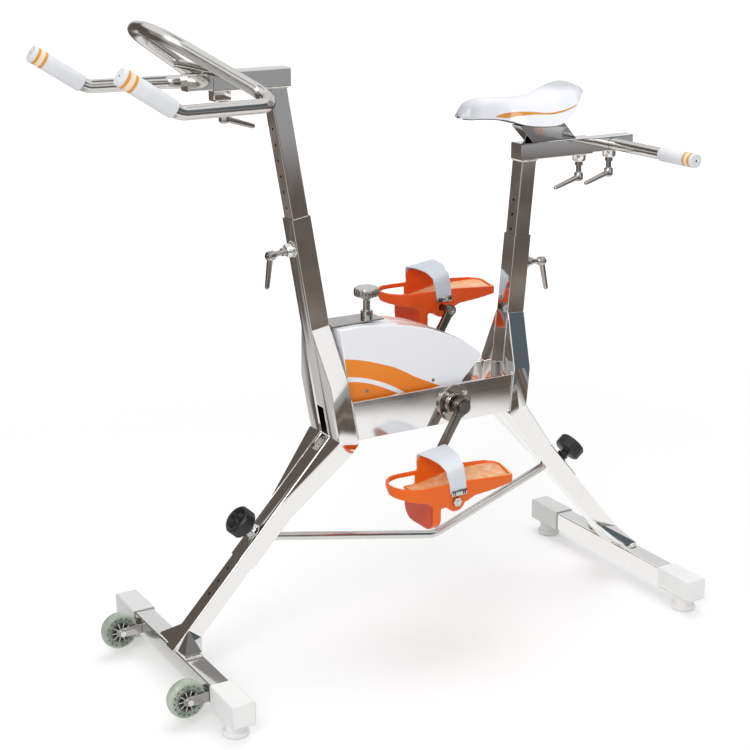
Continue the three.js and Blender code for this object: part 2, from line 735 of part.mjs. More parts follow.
function loopPath() {
  const tip = new THREE.Vector3(-loop.tipX, -loop.tipY, loop.tipZ);
  const prong = new THREE.Vector3(-loop.prongX, -loop.prongY, loop.prongZ);
  const inset = prong.clone().sub(tip).setLength(grip.endWall + fit.seam);
  const nearHalf = [
    tip.add(inset),
    prong,
    new THREE.Vector3(-loop.turnX, -loop.turnY, loop.turnZ),
    new THREE.Vector3(-loop.backX, -loop.backY, loop.backZ),
    new THREE.Vector3(-loop.apexX, -loop.apexY, loop.apexZ),
  ];
  const mirrored = nearHalf.map((p) => new THREE.Vector3(p.x, -p.y, p.z)).reverse();
  const fillets = [loop.prongFillet, loop.turnFillet, loop.turnFillet, loop.apexFillet];
  return roundedPath([...nearHalf, ...mirrored], [...fillets, ...[...fillets].reverse()]);
}

function handlebarTube() {
  const loopTube = tubeAlong(loopPath(), loop.radius, facets.tube);
  const share = (crossTube.x - loop.backX) / (loop.apexX - loop.backX);
  const halfLength = THREE.MathUtils.lerp(loop.backY, loop.apexY, share);
  const across = rod(crossTube.radius, -halfLength, halfLength, axisY, facets.small);
  across.translate(-crossTube.x, 0, beam.centreZ + slider.side / 2 + crossTube.radius + fit.seam);
  return join(loopTube, across);
}

// The outer stretch of the handlebar tube carries a sleeve grip with a closed end
function handlebarGrip(side) {
  const tip = new THREE.Vector3(-loop.tipX, side * loop.tipY, loop.tipZ);
  const prong = new THREE.Vector3(-loop.prongX, side * loop.prongY, loop.prongZ);
  const axis = tip.clone().sub(prong).normalize();
  const turn = new THREE.Quaternion().setFromUnitVectors(axisY, axis);
  const body = gripBody(loop.radius, grip.wall, grip.length).applyQuaternion(turn);
  const start = tip.clone().addScaledVector(axis, -grip.length);
  return body.translate(start.x, start.y, start.z);
}

function gripBody(coreRadius, wall, length) {
  const outer = coreRadius + wall;
  const bore = coreRadius + fit.seam;
  return turned(
    [
      [0, length - grip.endWall],
      [bore, length - grip.endWall],
      [bore, 0],
      [outer, 0],
      [outer, length - grip.edge],
      [outer - grip.edge, length],
      [0, length],
    ],
    axisY,
  );
}

// Saddle rail, slide and side handle
function seatRailBody() {
  const low = seatRail.centreZ - post.side / 2;
  const tube = railTube(post, seatRail.front, seatRail.rear, seatRail.centreZ, seatRail.endWall, true);
  const boss = onFace(leverBoss(leverBore), facingDown, seatRailLever.x, low);
  const drill = onFace(wallBore(leverBore, post.wall), facingDown, seatRailLever.x, low);
  return join(cut(tube, drill), boss);
}

function railSlideBody() {
  const low = seatRail.centreZ - slider.side / 2;
  const tube = railTube(slider, railSlide.front, railSlide.rear, seatRail.centreZ, railSlide.endWall, false);
  const through = rod(handle.radius + fit.slide, -slider.side, slider.side, axisY);
  const boss = onFace(leverBoss(leverBore), facingDown, handleLever.x, low);
  const drill = onFace(wallBore(leverBore, slider.wall), facingDown, handleLever.x, low);
  return join(cut(tube, through.translate(handle.x, 0, handle.z), drill), boss);
}

function handleTube() {
  const body = rod(handle.radius, -handle.end + grip.endWall + fit.seam, handle.inner, axisY);
  return body.translate(handle.x, 0, handle.z);
}

function handleGrip() {
  const length = handle.end - handle.gripStart;
  const body = gripBody(handle.radius, handle.gripWall, length);
  const dimple = rod(handle.dimple, length - grip.edge, length + grip.edge, axisY, facets.tiny);
  return cut(body, dimple).rotateX(Math.PI).translate(handle.x, -handle.gripStart, handle.z);
}

function saddleBracket() {
  const floor = seatRail.centreZ + post.side / 2 + fit.seam;
  const outer = [
    [bracket.lowFront, floor],
    [bracket.lowRear, floor],
    [bracket.highRear, bracket.top],
    [bracket.highFront, bracket.top],
  ];
  const run = (bracket.highFront - bracket.lowFront) / (bracket.top - floor);
  const wall = bracket.wall;
  const rise = bracket.top * 2;
  const pocket = [
    [bracket.lowFront + wall + run * wall, floor + wall],
    [bracket.lowRear * 2, floor + wall],
    [bracket.lowRear * 2, rise],
    [bracket.lowFront + wall + run * (rise - floor), rise],
  ];
  const shell = prismY(outer, -bracket.halfWidth, bracket.halfWidth);
  return cut(shell, prismY(pocket, -bracket.halfWidth + wall, bracket.halfWidth - wall));
}

// Saddle sections by station, eased between the named stations: the rim lies above the bracket's
// top plate by its lift, the top above the rim by its crown
const saddleStations = [
  [saddle.nose, "tip"],
  [saddle.noseRound, "round"],
  [saddle.noseFull, "full"],
  [saddle.waist, "waist"],
  [saddle.flareX, "flare"],
  [saddle.wide, "wide"],
  [saddle.wing, "wing"],
  [saddle.tailStart, "tailStart"],
  [saddle.tail, "tail"],
];

function saddleCurve(valueAt) {
  const points = saddleStations.map(([x, key]) => new THREE.Vector2(x, valueAt(key)));
  return (x) => {
    const last = points.length - 1;
    let i = points.findIndex((p) => p.x > x) - 1;
    if (i < 0) i = x <= points[0].x ? 0 : last - 1;
    const [a, b] = [points[i], points[i + 1]];
    const [before, after] = [points[Math.max(i - 1, 0)], points[Math.min(i + 2, last)]];
    const t = (x - a.x) / (b.x - a.x);
    const startSlope = ((b.y - before.y) / (b.x - before.x)) * (b.x - a.x);
    const endSlope = ((after.y - a.y) / (after.x - a.x)) * (b.x - a.x);
    const [t2, t3] = [t * t, t * t * t];
    const passed = 3 * t2 - 2 * t3;
    return a.y * (1 - passed) + b.y * passed + startSlope * (t3 - 2 * t2 + t) + endSlope * (t3 - t2);
  };
}

const halfWidthAt = saddleCurve((key) => saddleHalfWidth[key]);
const rimAt = saddleCurve((key) => bracket.top + saddleLift[key]);
const topAt = saddleCurve((key) => bracket.top + saddleLift[key] + saddleCrown[key]);

function squareAt(x) {
  const t = THREE.MathUtils.smoothstep(x, saddle.waist - saddle.nose / 2, saddle.wide);
  return THREE.MathUtils.lerp(saddleShell.noseSquare, saddleShell.tailSquare, t);
}

// A closed loft of rings, each a list of points, first and last rings capped;
// a crossed loft splits its quads along the other diagonal
function loft(rings, crossed = false) {
  const count = rings[0].length;
  const positions = rings.flat().flatMap((p) => [p.x, p.y, p.z]);
  const index = [];
  for (let r = 0; r < rings.length - 1; r++) {
    for (let i = 0; i < count; i++) {
      const next = (i + 1) % count;
      const [a, b] = [r * count + i, r * count + next];
      const [c, d] = [a + count, b + count];
      index.push(...(crossed ? [a, c, d, a, d, b] : [a, c, b, b, c, d]));
    }
  }
  const endAt = (rings.length - 1) * count;
  for (let i = 1; i < count - 1; i++) {
    index.push(0, i, i + 1, endAt, endAt + i + 1, endAt + i);
  }
  const geometry = new THREE.BufferGeometry();
  geometry.setAttribute("position", new THREE.Float32BufferAttribute(positions, 3));
  geometry.setIndex(index);
  return geometry.toNonIndexed();
}

function saddleX(i) {
  const t = i / saddleShell.along;
  const eased = (1 - Math.cos(Math.PI * t)) / 2;
  return THREE.MathUtils.lerp(saddle.nose, saddle.tail, THREE.MathUtils.lerp(t, eased, saddleShell.easeShare));
}

// A section starts at the crown, runs down to one rim, back along the flat underside and up again
function cushionRing(x) {
  const [half, top, rim, square] = [halfWidthAt(x), topAt(x), rimAt(x), squareAt(x)];
  const upper = Array.from({ length: saddleShell.around + 1 }, (_, i) => {
    const angle = (i / saddleShell.around) * Math.PI;
    const across = -Math.cos(angle);
    const fall = Math.abs(across) ** square;
    return new THREE.Vector3(x, across * half, top - (top - rim) * fall);
  });
  const inner = half - saddleShell.inset;
  const lower = [
    new THREE.Vector3(x, inner, rim + saddleShell.cushionFloor / 4),
    new THREE.Vector3(x, 0, rim + saddleShell.cushionFloor),
    new THREE.Vector3(x, -inner, rim + saddleShell.cushionFloor / 4),
  ];
  const crown = saddleShell.around / 2;
  return [...upper.slice(crown), ...lower, ...upper.slice(0, crown)];
}

function saddleCushion() {
  const rings = Array.from({ length: saddleShell.along + 1 }, (_, i) => cushionRing(saddleX(i)));
  return loft(rings);
}

// The shell under the cushion, with a deeper pad that sits on the bracket
function saddleBase() {
  const rings = Array.from({ length: saddleShell.along - 1 }, (_, i) => {
    const x = saddleX(i + 1);
    const half = halfWidthAt(x) - saddleShell.inset;
    const middle = rimAt(x) - fit.seam + saddleShell.cushionFloor;
    const edge = rimAt(x) - fit.seam + saddleShell.cushionFloor / 4;
    const padHalf = Math.min(saddlePad.halfWidth, half / 2);
    const under = THREE.MathUtils.lerp(middle, edge, padHalf / half) - saddleShell.thickness;
    const onPad = x > saddlePad.frontX && x < saddlePad.rearX;
    const low = onPad ? bracket.top + fit.seam : under;
    return [
      new THREE.Vector3(x, 0, middle),
      new THREE.Vector3(x, half, edge),
      new THREE.Vector3(x, half, edge - saddleShell.thickness),
      new THREE.Vector3(x, padHalf, low),
      new THREE.Vector3(x, -padHalf, low),
      new THREE.Vector3(x, -half, edge - saddleShell.thickness),
      new THREE.Vector3(x, -half, edge),
    ];
  });
  return loft(rings, true);
}

// Legs with their foot gussets, floor bars, caps and wheels
function footFlare(corner, footX, side) {
  const out = footX < 0 ? -1 : 1;
  const barTop = bar.centreZ + bar.side / 2 + fit.seam;
  const within = post.side / 2 - fit.seam;
  const base = new THREE.Vector3(footX, 0, bar.centreZ + bar.side / 2);
  const along = new THREE.Vector3(Math.sin(corner.rake), 0, Math.cos(corner.rake));
  const across = new THREE.Vector3(Math.cos(corner.rake), 0, -Math.sin(corner.rake));
  const on = (offset, length) => base.clone().addScaledVector(across, offset).addScaledVector(along, length);
  const outerPoint = on(out * within, flare.outerStart);
  const innerPoint = on(-out * within, footX < 0 ? flare.frontInnerStart : flare.rearInnerStart);
  const lift = barTop + flare.rim;
  const toeX = bar.centreX + flare.toe;
  const heelX = bar.centreX - flare.heel;
  const rows = [
    [outerPoint.x, flare.root, outerPoint.z],
    [innerPoint.x, flare.root, innerPoint.z],
    [out * toeX, flare.root, barTop],
    [out * heelX, flare.root, barTop],
    [out * toeX, flare.halfWidth, lift],
    [out * heelX, flare.halfWidth, lift],
    [out * toeX, flare.halfWidth, barTop],
    [out * heelX, flare.halfWidth, barTop],
  ];
  return new ConvexGeometry(rows.map(([x, y, z]) => new THREE.Vector3(x, side * y, z)));
}

function legBody(leg, corner, footX, holes) {
  const half = post.side / 2;
  const tube = squareTube(post, -corner.legLength - post.side, -leg.sleeve + leg.insert);
  const drills = Array.from({ length: holes }, (_, i) => {
    const drill = rod(indexHole.radius, -indexHole.depth, indexHole.depth, axisX, facets.tiny);
    return drill.translate(-half, 0, -legHoles.first - i * legHoles.pitch);
  });
  const placed = (drills.length ? cut(tube, ...drills) : tube).applyMatrix4(toWorld(corner, corner.rake));
  const barTop = bar.centreZ + bar.side / 2 + fit.seam;
  const [far, wide] = [reach.front * 2, flare.halfWidth * 2];
  const below = block(-far, far, -wide, wide, -reach.front, barTop);
  return join(cut(placed, below), footFlare(corner, footX, leftSide), footFlare(corner, footX, rightSide));
}

function floorBar(footX) {
  const half = bar.side / 2;
  const bore = half - bar.wall;
  const stock = (reach, length) => block(-reach, reach, -length, length, -reach, reach);
  return cut(stock(half, bar.halfLength), stock(bore, bar.halfLength * 2)).translate(footX, 0, bar.centreZ);
}

function endCap(footX, side) {
  const half = cap.side / 2;
  const round = cap.round;
  const section = [
    [-half, -half + round], [-half + round, -half], [half - round, -half], [half, -half + round],
    [half, half - round], [half - round, half], [-half + round, half], [-half, half - round],
  ];
  const spanY = (a, b) => [Math.min(side * a, side * b), Math.max(side * a, side * b)];
  const body = prismY(section, ...spanY(capOuter - cap.length, capOuter));
  const hollow = bar.side / 2 + fit.seam;
  const boreY = spanY(capOuter - cap.length * 2, bar.halfLength + fit.seam);
  const bore = block(-hollow, hollow, ...boreY, -hollow, hollow);
  const sleeved = cut(body, bore).translate(footX, 0, bar.centreZ);
  const pad = turned(
    [
      [0, 0],
      [foot.radius - foot.padEdge, 0],
      [foot.radius, foot.padEdge],
      [foot.radius, foot.padHeight],
      [foot.neckRadius, foot.padHeight + foot.padEdge],
      [foot.neckRadius, bar.centreZ - half + fit.seam],
      [0, bar.centreZ - half + fit.seam],
    ],
    axisZ,
  );
  return join(sleeved, pad.translate(footX, side * footY, 0));
}

function wheelFork(side) {
  const inner = wheel.width / 2 + fork.gap;
  const outer = inner + fork.thickness;
  const low = wheelAt.z - fork.height / 2;
  const high = wheelAt.z + fork.height / 2;
  const tailX = wheelAt.x + fork.tail;
  const face = -bar.centreX - bar.side / 2 - fit.seam;
  const cheek = (from, to) => prismY(
    [
      [face, low], [face, high], [-wheelAt.x, high], [-tailX, high - fork.height / 4],
      [-tailX, low + fork.height / 4], [-wheelAt.x, low],
    ],
    from,
    to,
  );
  const bridge = block(face - fork.thickness, face, -outer, outer, low, high);
  const axle = rod(fork.axleRadius, -outer - fork.headHeight, outer + fork.headHeight, axisY, facets.tiny);
  const bolt = (from, to) => rod(fork.headRadius, from, to, axisY, facets.hex);
  const [seatY, headY] = [outer - fork.thickness / 2, outer + fork.headHeight];
  const bolts = join(axle, bolt(seatY, headY), bolt(-headY, -seatY)).translate(-wheelAt.x, 0, wheelAt.z);
  const body = join(cheek(inner, outer), cheek(-outer, -inner), bridge, bolts);
  return body.translate(0, side * wheelAt.y, 0);
}

function wheelTyre(side) {
  const half = wheel.width / 2;
  const profile = [
    [wheel.rimRadius, -half],
    [wheel.radius - wheel.round, -half],
    [wheel.radius - wheel.round / 4, -half + wheel.round / 2],
    [wheel.radius, -half + wheel.flatStart],
    [wheel.radius, half - wheel.flatStart],
    [wheel.radius - wheel.round / 4, half - wheel.round / 2],
    [wheel.radius - wheel.round, half],
    [wheel.rimRadius, half],
    [wheel.rimRadius, -half],
  ];
  return turned(profile, axisY, facets.fine).translate(-wheelAt.x, side * wheelAt.y, wheelAt.z);
}

function wheelHub(side) {
  const half = hub.width / 2;
  const web = half / 2;
  const rimEnd = half - fit.seam;
  const opening = rod(hub.radius - hub.rimWidth, -half * 2, half * 2, axisY);
  const ring = cut(rod(hub.radius, -rimEnd, rimEnd, axisY), opening);
  const core = rod(hub.core, -half, half, axisY, facets.small);
  const spokes = Array.from({ length: hub.spokes }, (_, i) => {
    const spoke = block(0, hub.radius - hub.rimWidth / 2, -web, web, -hub.spokeWidth / 2, hub.spokeWidth / 2);
    return spoke.rotateY((i / hub.spokes) * 2 * Math.PI);
  });
  const body = cut(join(ring, core, ...spokes), rod(hub.boreRadius, -half * 2, half * 2, axisY, facets.small));
  return body.translate(-wheelAt.x, side * wheelAt.y, wheelAt.z);
}

// Leg knob along +X from the face of its boss
function legKnobBody(back) {
  const front = back + legKnob.depth;
  const shank = turned(
    [
      [0, legKnob.stemStart],
      [legKnob.stemRadius, legKnob.stemStart],
      [legKnob.stemRadius, legKnob.bossHeight + fit.seam],
      [legKnob.neckRadius, legKnob.bossHeight + fit.seam],
      [legKnob.neckRadius, back + legKnob.edge],
      [0, back + legKnob.edge],
    ],
    axisX,
    facets.small,
  );
  const ribbed = prismX(scalloped(legKnob.radius, legKnob.lobeDepth, legKnob.lobes), back, front);
  const barrel = turned(
    [
      [0, back],
      [legKnob.radius - legKnob.edge, back],
      [legKnob.radius, back + legKnob.edge],
      [legKnob.radius, front - legKnob.edge],
      [legKnob.radius - legKnob.edge, front],
      [legKnob.cupRadius, front],
      [legKnob.cupRadius, front - legKnob.cupDepth],
      [0, front - legKnob.cupDepth],
    ],
    axisX,
  );
  const spokes = Array.from({ length: legKnob.spokes }, (_, i) => {
    const reachOut = legKnob.cupRadius + legKnob.spokeRoot;
    const half = legKnob.spokeWidth / 2;
    const spoke = block(front - legKnob.spokeFloor, front - legKnob.spokeTop, 0, reachOut, -half, half);
    return spoke.rotateX((i / legKnob.spokes) * 2 * Math.PI);
  });
  const core = rod(legKnob.coreRadius, back + legKnob.edge, front - legKnob.spokeTop, axisX, facets.small);
  return join(common(ribbed, barrel), shank, core, ...spokes);
}

// Crank in its own frame: the left arm hangs at the crank angle, the right arm opposite
function crankPoint(side) {
  const angle = radians(crank.angle);
  return new THREE.Vector3(side * crank.length * Math.sin(angle), 0, side * crank.length * Math.cos(angle));
}

function crankArm(side) {
  const end = crankPoint(side);
  const angles = Array.from({ length: facets.fine }, (_, i) => (i / facets.fine) * 2 * Math.PI);
  const direction = Math.atan2(end.z, end.x);
  const round = (radius, centre, from, to) => angles
    .slice(from, to + 1)
    .map((angle) => [centre + radius * Math.cos(angle), radius * Math.sin(angle)]);
  const turn = facets.fine / 4;
  const big = round(crank.bigRadius, 0, turn, turn * 3);
  const small = [
    ...round(crank.smallRadius, crank.length, turn * 3, facets.fine),
    ...round(crank.smallRadius, crank.length, 0, turn),
  ];
  const shank = [
    [crank.neck, crank.waist],
    ...big,
    [crank.neck, -crank.waist],
    [crank.length - crank.smallRadius, -crank.waist],
    ...small,
    [crank.length - crank.smallRadius, crank.waist],
  ];
  const spanY = (a, b) => [Math.min(side * a, side * b), Math.max(side * a, side * b)];
  const plate = prismY(shank, ...spanY(crank.armInner, crank.armOuter));
  const boss = rod(crank.bigRadius, ...spanY(crank.hubInner, crank.armOuter), axisY);
  const hole = crank.squareSide / 2 + fit.seam;
  const socket = block(-hole, hole, ...spanY(crank.hubInner / 2, crank.armOuter * 2), -hole, hole);
  const pedalY = side === leftSide ? -pedal.leftY : pedal.rightY;
  const spindleEnd = pedalY + pedal.halfWidth + fit.spin;
  const nutEnd = spindleEnd + crank.spindleNut;
  const spindle = rod(crank.spindleRadius, ...spanY(crank.armInner, nutEnd), axisY, facets.small);
  const nut = rod(crank.spindleNutRadius, ...spanY(spindleEnd, nutEnd), axisY, facets.hex);
  const flat = join(cut(join(plate, boss), socket), join(spindle, nut).translate(crank.length, 0, 0));
  return flat.rotateY(-direction);
}

function crankAxle() {
  const half = crank.squareSide / 2;
  const shaft = rod(crank.shaftRadius, -crank.hubInner + fit.seam, crank.hubInner - fit.seam, axisY);
  const reachOut = crank.nutEnd;
  const square = block(-half, half, -reachOut + fit.seam, reachOut - fit.seam, -half, half);
  const nut = (side) => {
    const from = side * (crank.armOuter + fit.seam);
    const to = side * reachOut;
    return rod(crank.nutRadius, Math.min(from, to), Math.max(from, to), axisY);
  };
  return join(shaft, square, nut(leftSide), nut(rightSide)).rotateY(radians(crank.angle));
}

// Shoe pedal in the frame of its spindle: toe to -X, the strap ear on +Y
function pedalPlan(inset) {
  const half = pedal.halfWidth - inset;
  const toe = Array.from({ length: facets.small + 1 }, (_, i) => {
    const angle = quarter + (i / facets.small) * Math.PI;
    return [pedal.toeCentre + half * Math.cos(angle), half * Math.sin(angle)];
  });
  return [
    ...toe,
    [pedal.taperStart, -half],
    [pedal.heelOuter - inset, -half + pedal.heelTaper],
    [pedal.heelInner - inset, half - pedal.cornerCut],
    [pedal.heelInner - pedal.cornerCut - inset, half],
  ];
}

function pedalBody() {
  const toeX = pedal.toeCentre - pedal.halfWidth;
  const half = pedal.halfWidth;
  const profile = [
    [toeX, pedal.toeLow],
    [pedal.keelFront, pedal.keelFrontLow],
    [pedal.keelRear, pedal.archLow],
    [pedal.archRearX, pedal.archLow / 2],
    [pedal.midX, pedal.midLow],
    [pedal.heelInner, pedal.heelLow],
    [pedal.heelInner, pedal.rimHeel],
    [pedal.rimMidX, pedal.rimMid],
    [toeX, pedal.rimFront],
  ];
  const shell = common(prismY(profile, -half, half), prismZ(pedalPlan(0), pedal.keelBottom, pedal.earTop));
  const keelOutline = [
    [-half, pedal.floor],
    [-half, pedal.keelBottom + pedal.keelRound],
    [-half + pedal.keelRound / 4, pedal.keelBottom + pedal.keelRound / 3],
    [-half + pedal.keelRound * (2 / 3), pedal.keelBottom],
    [half - pedal.keelRound, pedal.keelBottom],
    [half - pedal.keelRound / 3, pedal.keelBottom + pedal.keelRound / 3],
    [half, pedal.keelBottom + pedal.keelRound],
    [half, pedal.floor],
  ];
  const keel = prismX(keelOutline, pedal.keelFront, pedal.keelRear);
  const lobe = rod(pedal.lobeRadius, -half, half, axisY);
  const ear = prismY(
    [
      [pedal.earFront, 0],
      [pedal.earRear, 0],
      [pedal.earRear, pedal.earTop + pedal.earSlope],
      [pedal.earFront, pedal.earTop],
    ],
    half - pedal.earThickness,
    half,
  );
  const inner = pedalPlan(pedal.wall);
  const bed = [
    [pedal.keelFront, pedal.floor],
    [pedal.keelFront / 4, pedal.floor + pedal.bedRise],
    [pedal.midX, pedal.rimMid - pedal.floorDip],
    [pedal.heelInner, pedal.rimHeel - pedal.floorDip / 2],
    [pedal.heelInner, pedal.earTop * 2],
    [toeX, pedal.earTop * 2],
    [toeX, pedal.toeLow - pedal.floor],
    [pedal.keelFront, pedal.toeLow - pedal.floor],
  ];
  const recess = common(prismY(bed, -half, half), prismZ(inner, pedal.keelBottom, pedal.earTop * 2));
  const toeHole = common(
    block(toeX, pedal.keelFront, -half, half, pedal.keelBottom, pedal.earTop),
    prismZ(inner, pedal.keelBottom, pedal.earTop),
  );
  const solid = join(shell, keel, lobe, ear);
  return cut(solid, recess, toeHole, rod(pedal.boreRadius, -half * 2, half * 2, axisY, facets.small));
}

// Strap: a curved band from the ear over the foot space and down the other side
function strapBody() {
  const half = pedal.halfWidth;
  const off = fit.seam;
  const shoulder = strap.shoulder;
  const lanes = Array.from({ length: strap.across + 1 }, (_, i) => i / strap.across);
  const mix = THREE.MathUtils.lerp;
  const path = (t) => {
    const topZ = mix(strap.frontTopZ, strap.rearTopZ, t);
    const topX = mix(strap.frontTopX, strap.rearTopX, t);
    const bendX = mix(strap.bendFrontX, strap.bendRearX, t);
    const clipX = mix(strap.clipFrontX, strap.clipRearX, t);
    const out = half + off + strap.thickness;
    const knee = shoulder * Math.SQRT1_2;
    return [
      [topX, out, strap.tailZ],
      [topX, out, topZ - shoulder / 2],
      [topX, out - shoulder / 5, topZ - shoulder / 8],
      [topX, out - shoulder / 2, topZ],
      [mix(topX, bendX, 1 / 4), half / 2, topZ + strap.crown * strap.farCrownShare],
      [mix(topX, bendX, 1 / 2), 0, topZ + strap.crown],
      [mix(topX, bendX, 3 / 4), -half / 2, topZ + strap.crown * strap.nearCrownShare],
      [bendX, -out + strap.lowShoulder, topZ - shoulder / 5],
      [bendX, -out + knee / 2, topZ - knee],
      [bendX, -out, topZ - strap.lowShoulder],
      [mix(bendX, clipX, 1 / 2), -out, mix(topZ, strap.clipZ, 1 / 2)],
      [clipX, -out, strap.clipZ],
    ].map(([x, y, z]) => new THREE.Vector3(x, y, z));
  };
  const curves = lanes.map((t) => new THREE.CatmullRomCurve3(path(t), false, "centripetal"));
  const rings = Array.from({ length: strap.around + 1 }, (_, k) => {
    const u = k / strap.around;
    const outer = curves.map((curve) => curve.getPoint(u));
    const inner = curves.map((curve, i) => {
      const along = curve.getTangent(u);
      const [one, two] = [curves[Math.max(i - 1, 0)], curves[Math.min(i + 1, strap.across)]];
      const beside = two.getPoint(u).sub(one.getPoint(u));
      const inward = new THREE.Vector3().crossVectors(beside, along).normalize();
      return curve.getPoint(u).addScaledVector(inward, strap.thickness);
    });
    return [...outer, ...inner.reverse()];
  });
  return loft(rings);
}

// Assembly
const bike = new THREE.Group();
bike.name = "aqua_bike";
const centred = new THREE.Group();
centred.position.x = (reach.front - reach.rear) / 2;
bike.add(centred);

const headTilted = tiltedGroup(headElbow.place, headElbow.tilt);
const frontLegTilted = tiltedGroup(headElbow.place, headElbow.rake);
const seatTilted = tiltedGroup(seatElbow.place, seatElbow.tilt);
const rearLegTilted = tiltedGroup(seatElbow.place, seatElbow.rake);
centred.add(headTilted, frontLegTilted, seatTilted, rearLegTilted);

const sleeveFace = sleeve.side / 2;
const headLeverAt = head.top - lever.setback;
const seatLeverAt = seat.top - lever.setback;
const frontKnob = onFace(legKnobBody(legKnob.neckEnd), facingFront, -sleeveFace, -frontLeg.knobAt);
const rearKnob = onFace(legKnobBody(legKnob.rearNeckEnd), facingRear, sleeveFace, -rearLeg.knobAt);
headTilted.add(
  piece("head_sleeve", headSleeve(), steel),
  piece("head_post", headPostBody(), steel),
  piece("head_lever", onFace(leverBody(0), facingFront, -sleeveFace, headLeverAt), chrome),
);
seatTilted.add(
  piece("seat_sleeve", seatSleeve(), steel),
  piece("seat_post", seatPostBody(), steel),
  piece("seat_lever", onFace(leverBody(Math.PI), facingRear, sleeveFace, seatLeverAt), chrome),
);
frontLegTilted.add(
  piece("front_leg_sleeve", legSleeve(frontLeg, headElbow, facingFront, true), steel),
  piece("front_knob", frontKnob, blackPlastic),
);
rearLegTilted.add(
  piece("rear_leg_sleeve", legSleeve(rearLeg, seatElbow, facingRear, false), steel),
  piece("rear_knob", rearKnob, blackPlastic),
);

for (const [word, side] of Object.entries(sides)) {
  centred.add(
    piece("front_gusset_" + word, elbowGusset(head, frontLeg, headElbow, side), steel),
    piece("rear_gusset_" + word, elbowGusset(seat, rearLeg, seatElbow, side), steel),
    piece("side_rail_" + word, sideRail(side), steel),
    piece("housing_" + word, housingHalf(side), whiteGloss),
    piece("bearing_" + word, bearingCover(side), chrome),
    piece("grip_" + word, handlebarGrip(side), whitePlastic),
    piece("front_cap_" + word, endCap(-bar.centreX, side), whitePlastic),
    piece("rear_cap_" + word, endCap(bar.centreX, side), whitePlastic),
    piece("wheel_fork_" + word, wheelFork(side), chrome),
    piece("tyre_" + word, wheelTyre(side), tyreRubber),
    piece("hub_" + word, wheelHub(side), darkPlastic),
  );
}

const railLow = seatRail.centreZ - post.side / 2;
const slideLow = seatRail.centreZ - slider.side / 2;
const padLow = beam.centreZ - post.side / 2 - beam.bossDrop;
centred.add(
  piece("tie_tube", tieTube(), steel),
  piece("knob_plate", tensionPlate(), chrome),
  piece("tension_knob", tensionKnob().translate(tension.x, 0, 0), chrome),
  piece("handlebar_beam", handlebarBeam(), steel),
  piece("handlebar_slide", handlebarSlide(), steel),
  piece("handlebar_tube", handlebarTube(), chrome),
  piece("seat_rail", seatRailBody(), steel),
  piece("rail_slide", railSlideBody(), steel),
  piece("handle_tube", handleTube(), chrome),
  piece("handle_grip", handleGrip(), whitePlastic),
  piece("saddle_bracket", saddleBracket(), darkSteel),
  piece("saddle_base", saddleBase(), darkPlastic),
  piece("saddle_cushion", saddleCushion(), whiteGloss),
  piece("front_leg", legBody(frontLeg, headElbow, -bar.centreX, legHoles.count), steel),
  piece("rear_leg", legBody(rearLeg, seatElbow, bar.centreX, 0), steel),
  piece("front_bar", floorBar(-bar.centreX), steel),
  piece("rear_bar", floorBar(bar.centreX), steel),
  piece("seat_rail_lever", onFace(leverBody(Math.PI), facingDown, seatRailLever.x, railLow), chrome),
  piece("handle_lever", onFace(leverBody(Math.PI), facingDown, handleLever.x, slideLow), chrome),
  piece("handlebar_lever", onFace(leverBody(0), facingDown, -beam.stemX, padLow + lever.bossHeight), chrome),
);

const turning = new THREE.Group();
turning.position.set(crank.x, 0, crank.z);
centred.add(turning);
turning.add(piece("crank_axle", crankAxle(), chrome));
for (const [word, side] of Object.entries(sides)) {
  turning.add(piece("crank_arm_" + word, crankArm(side), darkSteel));
  const shoe = new THREE.Group();
  shoe.position.copy(crankPoint(side));
  shoe.position.y = side === leftSide ? pedal.leftY : pedal.rightY;
  shoe.add(
    piece("pedal_" + word, pedalBody(), orangePlastic),
    piece("strap_" + word, strapBody(), strapRubber),
  );
  turning.add(shoe);
}

export default bike;
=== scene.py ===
# Aqua bike, dressed for pictures: rounded edges, finishes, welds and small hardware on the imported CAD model.
# Metres, floor at Z 0. The rider faces -X and the rider's left is -Y, the side the camera sees.
# Forms are given in millimetres and degrees, the bounds of colours and materials in metres.
import math

import bmesh
import bpy
from mathutils import Matrix, Vector
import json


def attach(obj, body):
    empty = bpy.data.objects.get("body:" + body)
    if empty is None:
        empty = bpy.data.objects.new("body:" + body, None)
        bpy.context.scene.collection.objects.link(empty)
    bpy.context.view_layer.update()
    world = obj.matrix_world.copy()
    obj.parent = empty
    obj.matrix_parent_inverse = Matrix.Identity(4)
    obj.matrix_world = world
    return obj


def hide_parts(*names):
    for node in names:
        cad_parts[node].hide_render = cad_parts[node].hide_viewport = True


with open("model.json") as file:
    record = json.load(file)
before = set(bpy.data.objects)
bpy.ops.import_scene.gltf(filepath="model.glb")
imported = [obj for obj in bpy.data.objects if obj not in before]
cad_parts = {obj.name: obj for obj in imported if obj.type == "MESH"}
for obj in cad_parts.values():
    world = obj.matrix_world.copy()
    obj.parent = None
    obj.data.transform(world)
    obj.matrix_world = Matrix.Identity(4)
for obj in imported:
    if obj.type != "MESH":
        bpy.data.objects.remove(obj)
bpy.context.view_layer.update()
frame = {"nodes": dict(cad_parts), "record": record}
mm = 0.001
bothSides = (("left", -1), ("right", 1))
slots = {part["node"]: part["material_slot"] for part in frame["record"]["subparts"]}
bodyOf = {node: body for body, nodes in frame["record"]["behaviour"]["bodies"].items() for node in nodes}
print("frame loaded:", len(frame["nodes"]), "nodes")


def fillCurve(mapping, points):
    line = mapping.curves[0]
    while len(line.points) < len(points):
        line.points.new(1, 1)
    for point, place in zip(line.points, points):
        point.location = place
    mapping.update()


